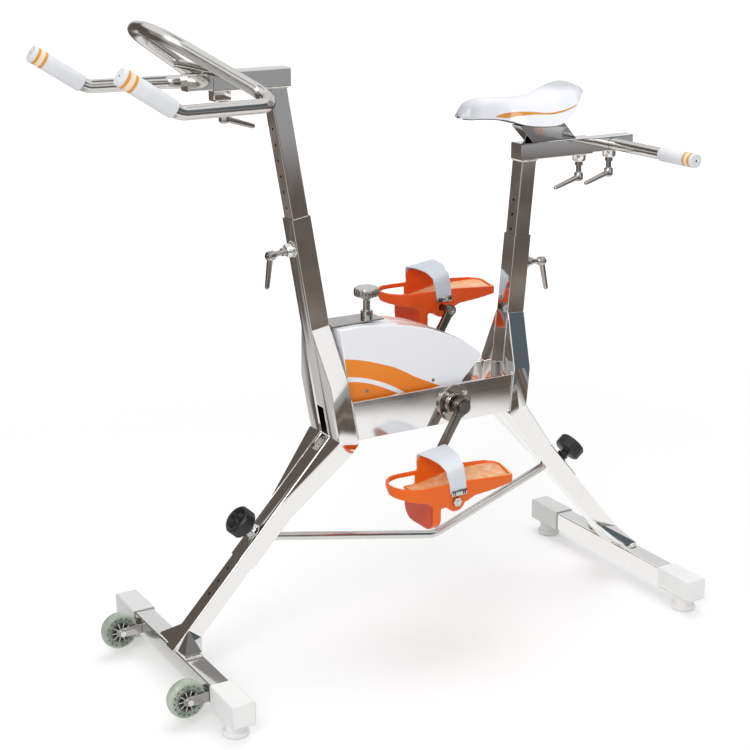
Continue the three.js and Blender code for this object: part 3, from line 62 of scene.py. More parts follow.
class Wire:
    # one output socket; sums written with it add Math nodes to its tree
    def __init__(self, tree, socket=None):
        self.tree = tree
        self.socket = socket

    def make(self, kind, inputs=None, output=0, **settings):
        made = self.tree.nodes.new(kind)
        for name, value in settings.items():
            if name == "points":
                fillCurve(made.mapping, value)
            else:
                setattr(made, name, value)
        for name, value in (inputs or {}).items():
            if isinstance(value, Wire):
                self.tree.links.new(value.socket, made.inputs[name])
            else:
                made.inputs[name].default_value = value
        return Wire(self.tree, made.outputs[output] if made.outputs else None)

    def maths(self, operation, first, second=0.0):
        return self.make("ShaderNodeMath", {0: first, 1: second}, operation=operation)

    def __add__(self, other):
        return self.maths("ADD", self, other)

    __radd__ = __add__

    def __sub__(self, other):
        return self.maths("SUBTRACT", self, other)

    def __rsub__(self, other):
        return self.maths("SUBTRACT", other, self)

    def __mul__(self, other):
        return self.maths("MULTIPLY", self, other)

    __rmul__ = __mul__

    def size(self):
        return self.maths("ABSOLUTE", self)

    def most(self, other):
        return self.maths("MAXIMUM", self, other)

    def step(self, low, high):
        # 0 below low, 1 above high, eased between; turned round if low is above high
        ends = {"Value": self, "From Min": min(low, high), "From Max": max(low, high)}
        ends.update({"To Min": 0.0, "To Max": 1.0} if low < high else {"To Min": 1.0, "To Max": 0.0})
        return self.make("ShaderNodeMapRange", ends, interpolation_type="SMOOTHSTEP")

    def axes(self):
        split = self.make("ShaderNodeSeparateXYZ", {0: self}).socket.node
        return [Wire(self.tree, split.outputs[i]) for i in range(3)]

    def vector(self, operation, other=(0, 0, 0), output=0):
        return self.make("ShaderNodeVectorMath", {0: self, 1: other}, output, operation=operation)

    def length(self):
        return self.vector("LENGTH", output="Value")

    def noise(self, scale, detail=3.0, rough=0.5):
        return self.make("ShaderNodeTexNoise", {"Vector": self, "Scale": scale, "Detail": detail, "Roughness": rough})

    def stretched(self, scale, turnY):
        turned = self.make("ShaderNodeVectorRotate", {"Vector": self, "Angle": turnY}, rotation_type="Y_AXIS")
        return self.make("ShaderNodeMapping", {"Vector": turned, "Scale": scale})

    def tint(self, low, high):
        # a colour between low and high by this share
        return self.make("ShaderNodeMix", {0: self, 6: low, 7: high}, 2, data_type="RGBA")

    def bump(self, strength, depth, over=None):
        inputs = {"Strength": strength, "Distance": depth, "Height": self}
        return self.make("ShaderNodeBump", {**inputs, "Normal": over} if over else inputs)


def emptied(owner):
    # the node tree of a material or world, with nothing in it
    owner.use_nodes = True
    owner.node_tree.nodes.clear()
    return Wire(owner.node_tree)


def tone(red, green, blue):
    # a colour as it looks on screen, 0 to 255, in the units of the shaders
    def straight(value):
        share = value / 255
        return share / 12.92 if share <= 0.04045 else ((share + 0.055) / 1.055) ** 2.4
    return (straight(red), straight(green), straight(blue), 1.0)


finishes = {}


def finish(name, pattern, fixed):
    # pattern gives what changes over the surface, fixed what is the same all over it
    finishes[name] = bpy.data.materials.new(name)
    start = emptied(finishes[name])
    place = start.make("ShaderNodeTexCoord", output="Object")
    shader = start.make("ShaderNodeBsdfPrincipled", {**fixed, **pattern(place)})
    start.make("ShaderNodeOutputMaterial", {"Surface": shader})


steelLook = {
    "bright": tone(246, 245, 243), "dull": tone(230, 228, 226), "rough": 0.05, "clouding": 0.05, "drawnLines": 0.035,
    "lineStrength": 0.25, "lineDepth": 0.00002, "waviness": 0.06, "waveDepth": 0.004,
    # scale of the drawn lines along each axis, their turn about Y, and the shade of the whole
    "tubes": {
        "steelUpright": ((240.0, 240.0, 5.0), 0.0, 1.0),
        "steelFrontLeg": ((240.0, 240.0, 5.0), -43.0, 1.0),
        "steelRearLeg": ((240.0, 240.0, 5.0), 40.0, 1.0),
        "steelLength": ((5.0, 240.0, 240.0), 0.0, 1.0),
        "steelAcross": ((240.0, 5.0, 240.0), 0.0, 1.0),
        "steelDark": ((240.0, 240.0, 8.0), 0.0, 0.55),
    },
}


def polishedSteel(name, along, turnY, shade):
    # electropolished tube: faint drawn lines along the tube, soft clouds, a slight waviness
    look = steelLook

    def pattern(place):
        lines = place.stretched(along, math.radians(turnY)).noise(1.0, 5.0, 0.6)
        clouds = place.noise(11.0, 4.0)
        low, high = (tuple(c * shade for c in look[key][:3]) + (1.0,) for key in ("dull", "bright"))
        ripple = place.noise(7.0, 1.0).bump(look["waviness"], look["waveDepth"])
        return {
            "Base Color": (clouds * 0.5 + lines * 0.5).tint(low, high),
            "Roughness": (look["rough"] + clouds.step(0.4, 0.75) * look["clouding"]
                          + lines.step(0.35, 0.8) * look["drawnLines"]),
            "Normal": lines.bump(look["lineStrength"], look["lineDepth"], ripple),
        }
    finish(name, pattern, {"Metallic": 1.0})


# darker tone, paler tone, roughness
plateLooks = {
    "tubeChrome": ((204, 202, 199), (222, 220, 217), 0.13),
    "leverChrome": ((166, 163, 160), (200, 197, 194), 0.15),
    "armSteel": ((104, 99, 94), (140, 134, 128), 0.2),
    "bearingSteel": ((162, 157, 151), (198, 192, 186), 0.13),
    "boltSteel": ((226, 225, 222), (244, 243, 240), 0.3),
    "nutSteel": ((186, 186, 184), (220, 219, 217), 0.14),
    "weldMetal": ((214, 211, 206), (242, 240, 236), 0.16),
    "screwSteel": ((150, 147, 143), (196, 193, 189), 0.2),
}


def chromePlate(name, low, high, rough):
    # plated steel: soft clouds and a few duller specks
    def pattern(place):
        specks = place.noise(260.0, 2.0)
        clouds = place.noise(24.0, 3.0)
        return {
            "Base Color": clouds.tint(tone(*low), tone(*high)),
            "Roughness": rough + clouds * 0.05 + specks.step(0.68, 0.8) * 0.12,
            "Normal": clouds.bump(0.06, 0.0008),
        }
    finish(name, pattern, {"Metallic": 1.0})


# darker tone, paler tone, roughness, scale of the grain, its depth in metres, share of light let in
plasticLooks = {
    "capWhite": ((240, 240, 239), (250, 250, 249), 0.42, 900.0, 0.00012, 0.08),
    # the caps on the far right side are painted greyer, as shade
    "capGrey": ((216, 218, 216), (229, 230, 228), 0.42, 900.0, 0.00012, 0.08),
    "strapWhite": ((214, 219, 227), (229, 233, 240), 0.36, 700.0, 0.0001, 0.0),
    # the strap on the far right side is painted darker, as shade
    "strapGrey": ((188, 195, 202), (212, 218, 226), 0.36, 700.0, 0.0001, 0.0),
    "knobBlack": ((22, 22, 23), (38, 37, 37), 0.38, 1200.0, 0.0002, 0.0),
    "baseDark": ((86, 82, 79), (110, 105, 101), 0.45, 1000.0, 0.0002, 0.0),
    "hubGrey": ((66, 66, 62), (96, 96, 90), 0.4, 900.0, 0.0001, 0.0),
    "hubPale": ((198, 204, 194), (220, 224, 214), 0.35, 900.0, 0.0001, 0.0),
    # the dark dots on the tyre stand for its moulded holes: painted shade
    "dotDark": ((74, 80, 72), (104, 110, 100), 0.4, 600.0, 0.0001, 0.0),
}


def mouldedPlastic(name, low, high, rough, grain, grainDepth, scatter):
    # plastic from a mould: faint flow marks, a fine grain and rubbed, slightly duller patches
    def pattern(place):
        flow = place.noise(16.0, 3.0)
        skin = place.noise(grain, 2.0)
        return {
            "Base Color": flow.tint(tone(*low), tone(*high)),
            "Roughness": rough + flow.step(0.45, 0.8) * 0.08 + skin * 0.06,
            "Normal": skin.bump(0.3, grainDepth),
        }
    finish(name, pattern, {"Subsurface Weight": scatter, "Subsurface Scale": 0.004} if scatter else {})


for make, looks in ((polishedSteel, steelLook["tubes"]), (chromePlate, plateLooks), (mouldedPlastic, plasticLooks)):
    for name, look in looks.items():
        make(name, *look)
print("plain finishes ready:", len(finishes))


def underLine(x, z, points, heights, soft):
    # 1 below a drawn line and 0 above it; its points are (x, z), its curve lies between the two heights
    first, last = points[0][0], points[-1][0]
    low, high = heights
    share = x.make("ShaderNodeMapRange", {
        "Value": x, "From Min": first * mm, "From Max": last * mm, "To Min": 0.0, "To Max": 1.0})
    shares = [((along - first) / (last - first), (level - low) / (high - low)) for along, level in points]
    height = x.make("ShaderNodeFloatCurve", {"Value": share}, points=shares)
    return (height * ((high - low) * mm) + low * mm - z).step(-soft, soft)


housingLook = {
    "white": tone(243, 245, 250), "paler": tone(249, 250, 253), "orange": tone(246, 146, 52),
    "deepOrange": tone(238, 128, 36), "deepBelow": (0.50, 0.60), "rough": 0.12,
    "side": 45.6, "rearX": 104.0, "soft": 0.35, "heights": (480.0, 620.0),
    "edge": [(-125.0, 607.9), (-94.1, 602.9), (-66.3, 595.9), (-38.2, 586.5), (-9.7, 575.9), (15.8, 562.9),
             (41.6, 547.9), (70.9, 533.8), (104.0, 518.0)],
    "stripeTop": [(-125.0, 572.5), (-91.3, 567.1), (-66.5, 560.6), (-28.8, 546.1), (14.2, 522.0), (40.0, 505.0)],
    "stripeLow": [(-125.0, 561.6), (-91.4, 557.8), (-69.7, 552.6), (-38.3, 540.5), (-0.2, 521.5), (40.0, 498.0)],
}


def housingPattern(place):
    # white gloss with an orange field on each side, and a white stripe through the field
    look = housingLook
    x, y, z = place.axes()
    soft = look["soft"] * mm
    flow = place.noise(14.0, 2.0)
    field, top, low = (underLine(x, z, look[key], look["heights"], soft) for key in ("edge", "stripeTop", "stripeLow"))
    field = field * (look["rearX"] * mm - x).step(-soft, soft)
    stripe = top * (1.0 - low)
    side = y.size().step(look["side"] * mm - soft, look["side"] * mm)
    painted = field * (1.0 - stripe) * side
    orange = z.step(*look["deepBelow"]).tint(look["deepOrange"], look["orange"])
    return {
        "Base Color": painted.tint(flow.tint(look["white"], look["paler"]), orange),
        "Roughness": look["rough"] + flow.step(0.4, 0.8) * 0.05 + painted * 0.04,
        "Normal": flow.bump(0.05, 0.001),
    }


saddleLook = {
    "white": tone(231, 232, 238), "paler": tone(239, 240, 245), "orange": tone(208, 138, 44),
    # dull is the grey of the painted shade on the nose, the hump and the tail, bounded by noseFrom, humpFrom and
    # tailFrom
    "dull": tone(176, 179, 184), "rough": 0.2, "leather": 520.0,
    "noseFrom": (0.222, 0.166), "humpFrom": (1.078, 1.094), "tailFrom": (0.428, 0.452),
    "stripeFrom": (0.2325, 0.2335), "stripeTo": (0.4045, 0.4035), "soft": 0.3, "heights": (1020.0, 1070.0),
    "top": [(233.0, 1040.2), (244.0, 1044.1), (259.0, 1046.8), (275.7, 1048.9), (291.4, 1049.0), (309.1, 1047.6),
            (327.1, 1045.5), (345.4, 1045.1), (364.0, 1048.0), (380.0, 1051.6), (398.4, 1056.6), (404.0, 1058.0)],
    "low": [(233.0, 1040.2), (247.0, 1038.0), (257.5, 1036.9), (266.5, 1038.6), (274.0, 1040.7), (289.1, 1042.3),
            (306.8, 1043.0), (325.3, 1042.3), (343.6, 1041.7), (362.3, 1044.6), (378.5, 1048.8), (398.5, 1055.2),
            (404.0, 1058.2)],
}


def saddlePattern(place):
    # white vinyl with an orange line on the flank, and painted shade greying the nose, the hump and the tail
    look = saddleLook
    x, y, z = place.axes()
    flow = place.noise(12.0, 2.0)
    leather = place.make("ShaderNodeTexVoronoi", {"Vector": place, "Scale": look["leather"]}, feature="F1")
    top, low = (underLine(x, z, look[key], look["heights"], look["soft"] * mm) for key in ("top", "low"))
    stripe = top * (1.0 - low) * x.step(*look["stripeFrom"]) * x.step(*look["stripeTo"])
    # painted shade: the nose, the hump and the tail turn towards the dull grey
    paintedShade = x.step(*look["noseFrom"]).most(z.step(*look["humpFrom"])).most(x.step(*look["tailFrom"]))
    white = (paintedShade * (0.6 + flow * 0.4)).tint(flow.tint(look["white"], look["paler"]), look["dull"])
    return {
        "Base Color": stripe.tint(white, look["orange"]),
        "Roughness": look["rough"] + flow.step(0.4, 0.8) * 0.07,
        "Normal": leather.bump(0.1, 0.00012),
    }


pedalLook = {
    # the right pedal's tones are darker than the left's: painted shade on the far side
    "shell": {"left": tone(242, 112, 24), "right": tone(234, 90, 24)},
    "shade": {"left": tone(234, 96, 16), "right": tone(220, 74, 16)},
    "keel": tone(204, 62, 12), "bed": tone(246, 178, 122), "bedPatch": tone(251, 212, 170), "rough": 0.3,
    # where the bed and the front of the keel are, in metres from the pedal's middle
    "bedWithin": (0.0462, 0.0458), "bedUnder": (0.034, 0.032), "bedBehind": (-0.056, -0.054), "level": (0.8, 0.95),
    # keelBefore and keelUnder bound the front face of the keel, which is painted a deeper red as shade
    "keelBefore": (-0.0525, -0.0535), "keelUnder": (0.0, -0.003),
}


def pedalPattern(side, centre):
    # orange shell, its bed paler in patches where it faces up, the front of its keel painted a deeper red as shade
    def pattern(place):
        look = pedalLook
        x, y, z = place.axes()
        flow = place.noise(18.0, 3.0)
        skin = place.noise(900.0, 2.0)
        bedPatches = place.noise(60.0, 4.0).step(0.45, 0.7)
        facing = place.make("ShaderNodeNewGeometry", output="Normal").axes()[2].step(*look["level"])
        onBed = ((y - centre[1]).size().step(*look["bedWithin"]) * facing
                 * (z - centre[2]).step(*look["bedUnder"]) * (x - centre[0]).step(*look["bedBehind"]))
        # painted shade on the front face of the keel
        keelPaintedShade = (x - centre[0]).step(*look["keelBefore"]) * (z - centre[2]).step(*look["keelUnder"])
        shell = keelPaintedShade.tint(flow.tint(look["shade"][side], look["shell"][side]), look["keel"])
        return {
            "Base Color": onBed.tint(shell, bedPatches.tint(look["bed"], look["bedPatch"])),
            "Roughness": look["rough"] + flow.step(0.4, 0.8) * 0.08 + onBed * 0.14,
            "Normal": skin.bump(0.25, 0.0001),
        }
    return pattern


gripLook = {
    "white": tone(224, 226, 230), "paler": tone(238, 239, 242), "orange": tone(226, 158, 74),
    # the hole tone is painted into the recess in the tip, as shade
    "between": tone(248, 228, 200), "hole": tone(60, 58, 56), "rings": [(0.0072, 0.0128), (0.0217, 0.0273)],
    "soft": 0.0003, "holeWithin": (0.0036, 0.0032), "holeFrom": (0.0004, 0.0008), "foam": 700.0, "rough": 0.42,
}


def gripPattern(tip, along):
    # foam with two orange rings, placed by their distance from the closed end along the grip, and the hole in that end
    # painted dark as shade
    def pattern(place):
        look = gripLook
        fromTip = place.vector("SUBTRACT", tip)
        depth = fromTip.vector("DOT_PRODUCT", along, "Value")
        # painted shade in the recess of the tip
        hole = fromTip.length().step(*look["holeWithin"]) * depth.step(*look["holeFrom"])

        def band(low, high):
            soft = look["soft"]
            return depth.step(low - soft, low + soft) * depth.step(high + soft, high - soft)
        first, last = look["rings"]
        rings = band(*first).most(band(*last))
        foam = place.noise(look["foam"], 3.0)
        white = place.noise(20.0, 2.0).tint(look["white"], look["paler"])
        base = hole.tint(band(first[1], last[0]).tint(white, look["between"]), look["hole"])
        return {
            "Base Color": rings.tint(base, look["orange"]),
            "Roughness": look["rough"] + foam * 0.1 - rings * 0.12,
            "Normal": foam.bump(0.5, 0.00015),
        }
    return pattern


tyreLook = {
    "inner": tone(104, 114, 106), "outer": tone(186, 198, 182), "speck": tone(216, 224, 212), "rough": 0.2,
    "from": 0.024, "to": 0.0355, "axle": (-0.5195, 0.0525),
}


def tyrePattern(place):
    # clear grey gel, paler towards the tread, with a mottle and small pale specks that are partly bubbles and partly
    # painted highlight and shade
    look = tyreLook
    x, y, z = place.axes()
    axleX, axleZ = look["axle"]
    far = place.make("ShaderNodeCombineXYZ", {0: x - axleX, 1: 0.0, 2: z - axleZ}).length()
    flow = place.noise(30.0, 3.0)
    # the mottle and the pale specks are partly painted highlight and shade of the glossy gel
    bubblesAndGlints = place.noise(240.0, 2.0).step(0.6, 0.7)
    share = far.step(look["from"], look["to"]) * 0.6 + flow.step(0.35, 0.65) * 0.45
    return {
        "Base Color": (bubblesAndGlints * 0.35).tint(share.tint(look["inner"], look["outer"]), look["speck"]),
        "Roughness": look["rough"] + flow * 0.1 + bubblesAndGlints * 0.12,
        "Normal": flow.bump(0.12, 0.0008),
    }


finish("housingGloss", housingPattern, {"Coat Weight": 0.5, "Coat Roughness": 0.04})
finish("saddleVinyl", saddlePattern, {"Coat Weight": 0.35, "Coat Roughness": 0.1})
finish("tyreGel", tyrePattern, {
    "Subsurface Weight": 0.3, "Subsurface Scale": 0.006, "Coat Weight": 0.5, "Coat Roughness": 0.08})
print("patterned finishes ready")


def added(name, data):
    thing = bpy.data.objects.new(name, data)
    bpy.context.scene.collection.objects.link(thing)
    return thing


def show(name, mesh, paint, body=None, slot=None, node=None):
    # a piece on its body; one that stands for a CAD node takes that node's body and hides the node
    piece = added(name, mesh)
    mesh.materials.clear()
    mesh.materials.append(finishes[paint])
    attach(piece, body or bodyOf[node])
    if node:
        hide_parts(node)
    slot or slots[node]
    return piece


def baked(thing):
    # the mesh of a helper object with its modifiers worked in; the object goes
    depsgraph = bpy.context.evaluated_depsgraph_get()
    mesh = bpy.data.meshes.new_from_object(thing.evaluated_get(depsgraph), preserve_all_data_layers=True,
                                           depsgraph=depsgraph)
    bpy.data.objects.remove(thing)
    return mesh


def meshOf(name, work, smoothBelow=None):
    # the mesh of a worked shape, its edges shaded smooth below an angle
    mesh = bpy.data.meshes.new(name)
    work.to_mesh(mesh)
    work.free()
    if smoothBelow:
        for face in mesh.polygons:
            face.use_smooth = True
        mesh.set_sharp_from_angle(angle=math.radians(smoothBelow))
    return mesh


def rounded(work, edges, radius, steps, clamped):
    bmesh.ops.bevel(work, geom=edges, offset=radius, offset_type="OFFSET", segments=steps, profile=0.5,
                    affect="EDGES", clamp_overlap=clamped)


def reach(edge, face):
    # how far a face runs from one of its edges
    start = edge.verts[0].co
    along = (edge.verts[1].co - start).normalized()
    return max(((v.co - start) - along * (v.co - start).dot(along)).length for v in face.verts)


def corners(work, rule):
    # the outer edges worth rounding: sharp, long enough, between faces wide enough
    found = []
    for edge in work.edges:
        if not edge.is_manifold or not edge.is_convex or edge.calc_face_angle(0.0) < math.radians(rule["sharper"]):
            continue
        line = edge.verts[1].co - edge.verts[0].co
        if line.length < rule["longer"] or min(reach(edge, face) for face in edge.link_faces) < rule["wider"]:
            continue
        if "along" in rule and abs(line.normalized().dot(Vector(rule["along"]).normalized())) < 0.995:
            continue
        found.append(edge)
    return found


def keepFlat(mesh, wide):
    # a crease between two wide flat faces stays a crease, however shallow
    work = bmesh.new()
    work.from_mesh(mesh)
    for edge in work.edges:
        if edge.smooth and len(edge.link_faces) == 2 and edge.calc_face_angle(0.0) > math.radians(3):
            if min(face.calc_area() / max(e.calc_length() for e in face.edges) for face in edge.link_faces) > wide:
                edge.smooth = False
    work.to_mesh(mesh)
    work.free()


# vertices closer than this, in metres, are one
sameSpot = {"cad": 0.00002, "saddle": 0.00001, "turned": 0.000005}


def softened(node, rule):
    # a CAD node's own mesh with its long outer edges rounded and its shading set
    work = bmesh.new()
    work.from_mesh(frame["nodes"][node].data)
    bmesh.ops.remove_doubles(work, verts=work.verts, dist=sameSpot["cad"])
    bmesh.ops.dissolve_limit(work, angle_limit=math.radians(0.4), use_dissolve_boundaries=False,
                             verts=work.verts[:], edges=work.edges[:])
    chosen = corners(work, rule) if rule["radius"] else []
    if chosen:
        rounded(work, chosen, rule["radius"], rule["steps"], rule.get("clamped", False))
    bmesh.ops.triangulate(work, faces=[f for f in work.faces if len(f.verts) > 4])
    mesh = meshOf(node + "Skin", work, rule["smoothBelow"])
    if "flat" in rule:
        keepFlat(mesh, rule["flat"])
    return mesh


def evenShading(mesh):
    # flat faces keep their own direction beside the rounded edges
    thing = added("even", mesh)
    weighted = thing.modifiers.new("flatFaces", "WEIGHTED_NORMAL")
    weighted.keep_sharp = True
    weighted.weight = 80
    return baked(thing)


# where each leaning tube starts, as (x, z), and how far it leans from upright
leans = {
    "head": ((-115.0, 440.0), math.radians(-9.6)), "frontLeg": ((-115.0, 440.0), math.atan2(342.5, 366.5)),
    "seat": ((281.0, 444.0), math.radians(5.0)), "rearLeg": ((281.0, 444.0), math.atan2(-310.5, 370.5)),
}


def leaning(tube):
    return (math.sin(leans[tube][1]), 0.0, math.cos(leans[tube][1]))


lengthwise = (1.0, 0.0, 0.0)
crosswise = (0.0, 1.0, 0.0)

# how edges are rounded, lengths in metres: sharper, longer and wider choose the edges
squareTube = {"radius": 0.0028, "steps": 4, "sharper": 60, "longer": 0.012, "wider": 0.012, "smoothBelow": 34,
              "flat": 0.0035}
plainRound = {"radius": 0.0, "smoothBelow": 34}
softBlock = {"radius": 0.0016, "steps": 3, "sharper": 28, "longer": 0.006, "wider": 0.004, "smoothBelow": 40}
capBlock = {**softBlock, "radius": 0.002, "steps": 4, "wider": 0.002}
strapEdge = {"radius": 0.0009, "steps": 2, "sharper": 60, "longer": 0.001, "wider": 0.001, "smoothBelow": 50,
             "clamped": True}
thinPlate = {"radius": 0.0007, "steps": 2, "sharper": 50, "longer": 0.006, "wider": 0.0025, "smoothBelow": 40}

dressing = [
    ("head_sleeve head_post", {**squareTube, "along": leaning("head")}, "steelUpright"),
    ("seat_sleeve seat_post", {**squareTube, "along": leaning("seat")}, "steelUpright"),
    ("front_leg_sleeve front_leg", {**squareTube, "along": leaning("frontLeg")}, "steelFrontLeg"),
    ("rear_leg_sleeve", {**squareTube, "along": leaning("rearLeg")}, "steelRearLeg"),
    ("rear_leg", {**squareTube, "radius": 0.0}, "steelRearLeg"),
    ("handlebar_beam handlebar_slide seat_rail rail_slide", {**squareTube, "along": lengthwise}, "steelLength"),
    ("front_bar rear_bar", {**squareTube, "along": crosswise}, "steelAcross"),
    ("front_gusset_left front_gusset_right rear_gusset_left rear_gusset_right",
     {**squareTube, "radius": 0.002, "wider": 0.01, "clamped": True}, "steelUpright"),
    ("side_rail_left side_rail_right", {**thinPlate, "radius": 0.0012, "along": lengthwise}, "steelLength"),
    ("knob_plate", thinPlate, "leverChrome"),
    ("saddle_bracket", thinPlate, "steelDark"),
    ("head_lever seat_lever seat_rail_lever handle_lever handlebar_lever", plainRound, "leverChrome"),
    ("tension_knob", plainRound, "tubeChrome"),
    ("crank_axle", plainRound, "armSteel"),
    ("wheel_fork_left wheel_fork_right", thinPlate, "leverChrome"),
    ("handle_tube", plainRound, "tubeChrome"),
    ("crank_arm_left crank_arm_right", {**thinPlate, "radius": 0.0012}, "armSteel"),
    ("front_cap_left rear_cap_left", capBlock, "capWhite"),
    # the far caps are painted greyer, as shade
    ("front_cap_right rear_cap_right", capBlock, "capGrey"),
    ("front_knob rear_knob", plainRound, "knobBlack"),
    ("hub_left hub_right", plainRound, "hubGrey"),
    ("tyre_left tyre_right", {**plainRound, "smoothBelow": 60}, "tyreGel"),
    ("strap_left", strapEdge, "strapWhite"),
    # the far strap is painted darker, as shade
    ("strap_right", strapEdge, "strapGrey"),
    ("housing_left housing_right", {**softBlock, "radius": 0.003, "longer": 0.003, "wider": 0.008, "steps": 4},
     "housingGloss"),
    ("saddle_base", plainRound, "baseDark"),
]


def dress(nodes, rule, paint):
    for node in nodes.split():
        show(node + "_skin", evenShading(softened(node, rule)), paint, node=node)


for row in dressing:
    dress(*row)
print("tubes, castings and plates dressed")


def filleted(points, steps=8):
    # an outline from (u, v, radius) corners, each corner turned into an arc
    outline = []
    for i, (u, v, radius) in enumerate(points):
        if radius <= 0:
            outline.append((u, v))
            continue
        here = Vector((u, v))
        back = Vector(points[i - 1][:2]) - here
        on = Vector(points[(i + 1) % len(points)][:2]) - here
        half = back.angle(on) / 2
        run = min(radius / math.tan(half), back.length * 0.49, on.length * 0.49)
        bow = run * math.tan(half)
        middle = here + (back.normalized() + on.normalized()).normalized() * (bow / math.sin(half))
        first = here + back.normalized() * run - middle
        last = here + on.normalized() * run - middle
        turn = math.atan2(first.x * last.y - first.y * last.x, first.dot(last))
        for k in range(steps + 1):
            a = turn * k / steps
            outline.append((middle.x + first.x * math.cos(a) - first.y * math.sin(a),
                            middle.y + first.x * math.sin(a) + first.y * math.cos(a)))
    return outline


def circle(radius, count=48):
    return [(radius * math.cos(a), radius * math.sin(a)) for a in (2 * math.pi * i / count for i in range(count))]


def joinRings(work, rings, closed=False):
    # faces from each ring of vertices to the next, where a ring may be one vertex, and over both ends
    count = max(len(ring) for ring in rings)
    for one, two in zip(rings, rings[1:]):
        for i in range(count):
            j = (i + 1) % count
            quad = [one[i % len(one)], one[j % len(one)], two[j % len(two)], two[i % len(two)]]
            unique = list(dict.fromkeys(quad))
            if len(unique) > 2:
                work.faces.new(unique)
    if closed:
        work.faces.new(rings[0])
        work.faces.new(list(reversed(rings[-1])))


def prism(outline, low, high, across):
    # a solid of one outline, pulled along the axis across ("x", "y" or "z") from low to high
    place = {"x": lambda u, v, w: (w, u, v), "y": lambda u, v, w: (u, w, v), "z": lambda u, v, w: (u, v, w)}[across]
    work = bmesh.new()
    ends = [[work.verts.new(Vector(place(u, v, w)) * mm) for u, v in outline] for w in (low, high)]
    joinRings(work, ends, True)
    bmesh.ops.recalc_face_normals(work, faces=work.faces)
    return meshOf("prism", work)


def carved(mesh, steps):
    # solids joined to, cut from or shared with the first, one after another
    for operation, tool in steps:
        thing, cutter = added("carved", mesh), added("tool", tool)
        joint = thing.modifiers.new("joint", "BOOLEAN")
        joint.operation = operation
        joint.solver = "EXACT"
        joint.object = cutter
        mesh = baked(thing)
        bpy.data.objects.remove(cutter)
    return mesh


def moulded(mesh, voxel, passes, keep):
    # edges rounded all over as by a mould: an even grid of faces, eased, then thinned
    thing = added("moulded", mesh)
    grid = thing.modifiers.new("grid", "REMESH")
    grid.mode = "VOXEL"
    grid.voxel_size = voxel * mm
    ease = thing.modifiers.new("ease", "SMOOTH")
    ease.factor = 0.5
    ease.iterations = passes
    thin = thing.modifiers.new("thin", "DECIMATE")
    thin.ratio = keep
    made = baked(thing)
    for face in made.polygons:
        face.use_smooth = True
    return made


# the shoe pedal about its own middle: outlines with corner radii, cut and joined one after another
pedalForm = {
    "place": {"left": (0.03673, -0.155, 0.34085), "right": (0.20927, 0.172, 0.62915)},
    "half": 51.5, "toeX": -68.0, "wall": 5.5, "voxel": 1.5, "passes": 7, "keep": 0.45,
    "profile": [(-119.5, 18, 5), (-55, 4, 4), (-34, -10, 4), (26, -5, 6), (44, 3, 10), (161, 13, 3),
                (161, 26, 3), (40, 36, 60), (-119.5, 38, 3)],
    "heel": [(90, -51.5, 60), (137, -44.5, 9), (161.5, 51.5, 27)], "plan": (-70, 90),
    "innerHeel": [(90, -46, 60), (131.5, -39.5, 6), (155.5, 46, 22)], "innerPlan": (-70, 140),
    "keel": [(-51.5, 6, 0), (-51.5, -54, 24), (51.5, -54, 34), (51.5, 6, 0)], "keelX": (-55, -34),
    "ear": [(-27, 0, 0), (37, 0, 0), (37, 70, 7), (-27, 62, 9)], "earWall": 5,
    "bed": [(-55, 6), (-13.75, 12), (44, 24), (161, 23), (161, 124), (-119.5, 124), (-119.5, 12), (-55, 12)],
    "toeHole": [(-130, -51.5), (-55, -51.5), (-55, 51.5), (-130, 51.5)], "toeHoleZ": (-60, 90),
    "loopCut": [(-20, -20), (-20, 3), (12, 26), (70, 29.5), (70, -20)], "loopX": (-130, -57),
    "sideCut": [(20, 9), (20, 26), (70, 29.5), (70, 9)], "sideX": (-70, -32),
    "lobe": 21, "bore": 6.6, "boreWide": 71.5,
    "gloss": {"Coat Weight": 0.15, "Coat Roughness": 0.1, "Specular IOR Level": 0.32},
}


def pedalOutline(half, heel):
    toe = [(pedalForm["toeX"] - half * math.sin(a), half * math.cos(a))
           for a in (math.pi * k / 40 for k in range(41))]
    return toe + filleted([(pedalForm["toeX"], -half, 0)] + heel + [(pedalForm["toeX"], half, 0)])[1:-1]


def pedalMesh():
    form = pedalForm
    half, wide = form["half"], form["boreWide"]
    innerPlan = prism(pedalOutline(half - form["wall"], form["innerHeel"]), *form["innerPlan"], "z")
    mesh = carved(prism(filleted(form["profile"]), -half, half, "y"), [
        ("INTERSECT", prism(pedalOutline(half, form["heel"]), *form["plan"], "z")),
        ("UNION", prism(filleted(form["keel"]), *form["keelX"], "x")),
        ("UNION", prism(circle(form["lobe"]), -half, half, "y")),
        ("UNION", prism(filleted(form["ear"]), half - form["earWall"], half, "y")),
        ("DIFFERENCE", carved(prism(form["bed"], -half, half, "y"), [("INTERSECT", innerPlan)])),
        ("DIFFERENCE", carved(prism(form["toeHole"], *form["toeHoleZ"], "z"), [("INTERSECT", innerPlan)])),
        ("DIFFERENCE", prism(form["loopCut"], *form["loopX"], "x")),
        ("DIFFERENCE", prism(form["sideCut"], *form["sideX"], "x")),
        ("DIFFERENCE", prism(circle(form["bore"]), -wide, wide, "y")),
    ])
    return moulded(mesh, form["voxel"], form["passes"], form["keep"])


def shifted(mesh, place):
    moved = mesh.copy()
    moved.transform(Matrix.Translation(Vector(place)))
    return moved


pedalShape = pedalMesh()
for side, centre in pedalForm["place"].items():
    finish("pedalShell_" + side, pedalPattern(side, centre), pedalForm["gloss"])
    show("pedal_shell_" + side, shifted(pedalShape, centre), "pedalShell_" + side, node="pedal_" + side)
print("pedals moulded:", len(pedalShape.polygons), "faces each")


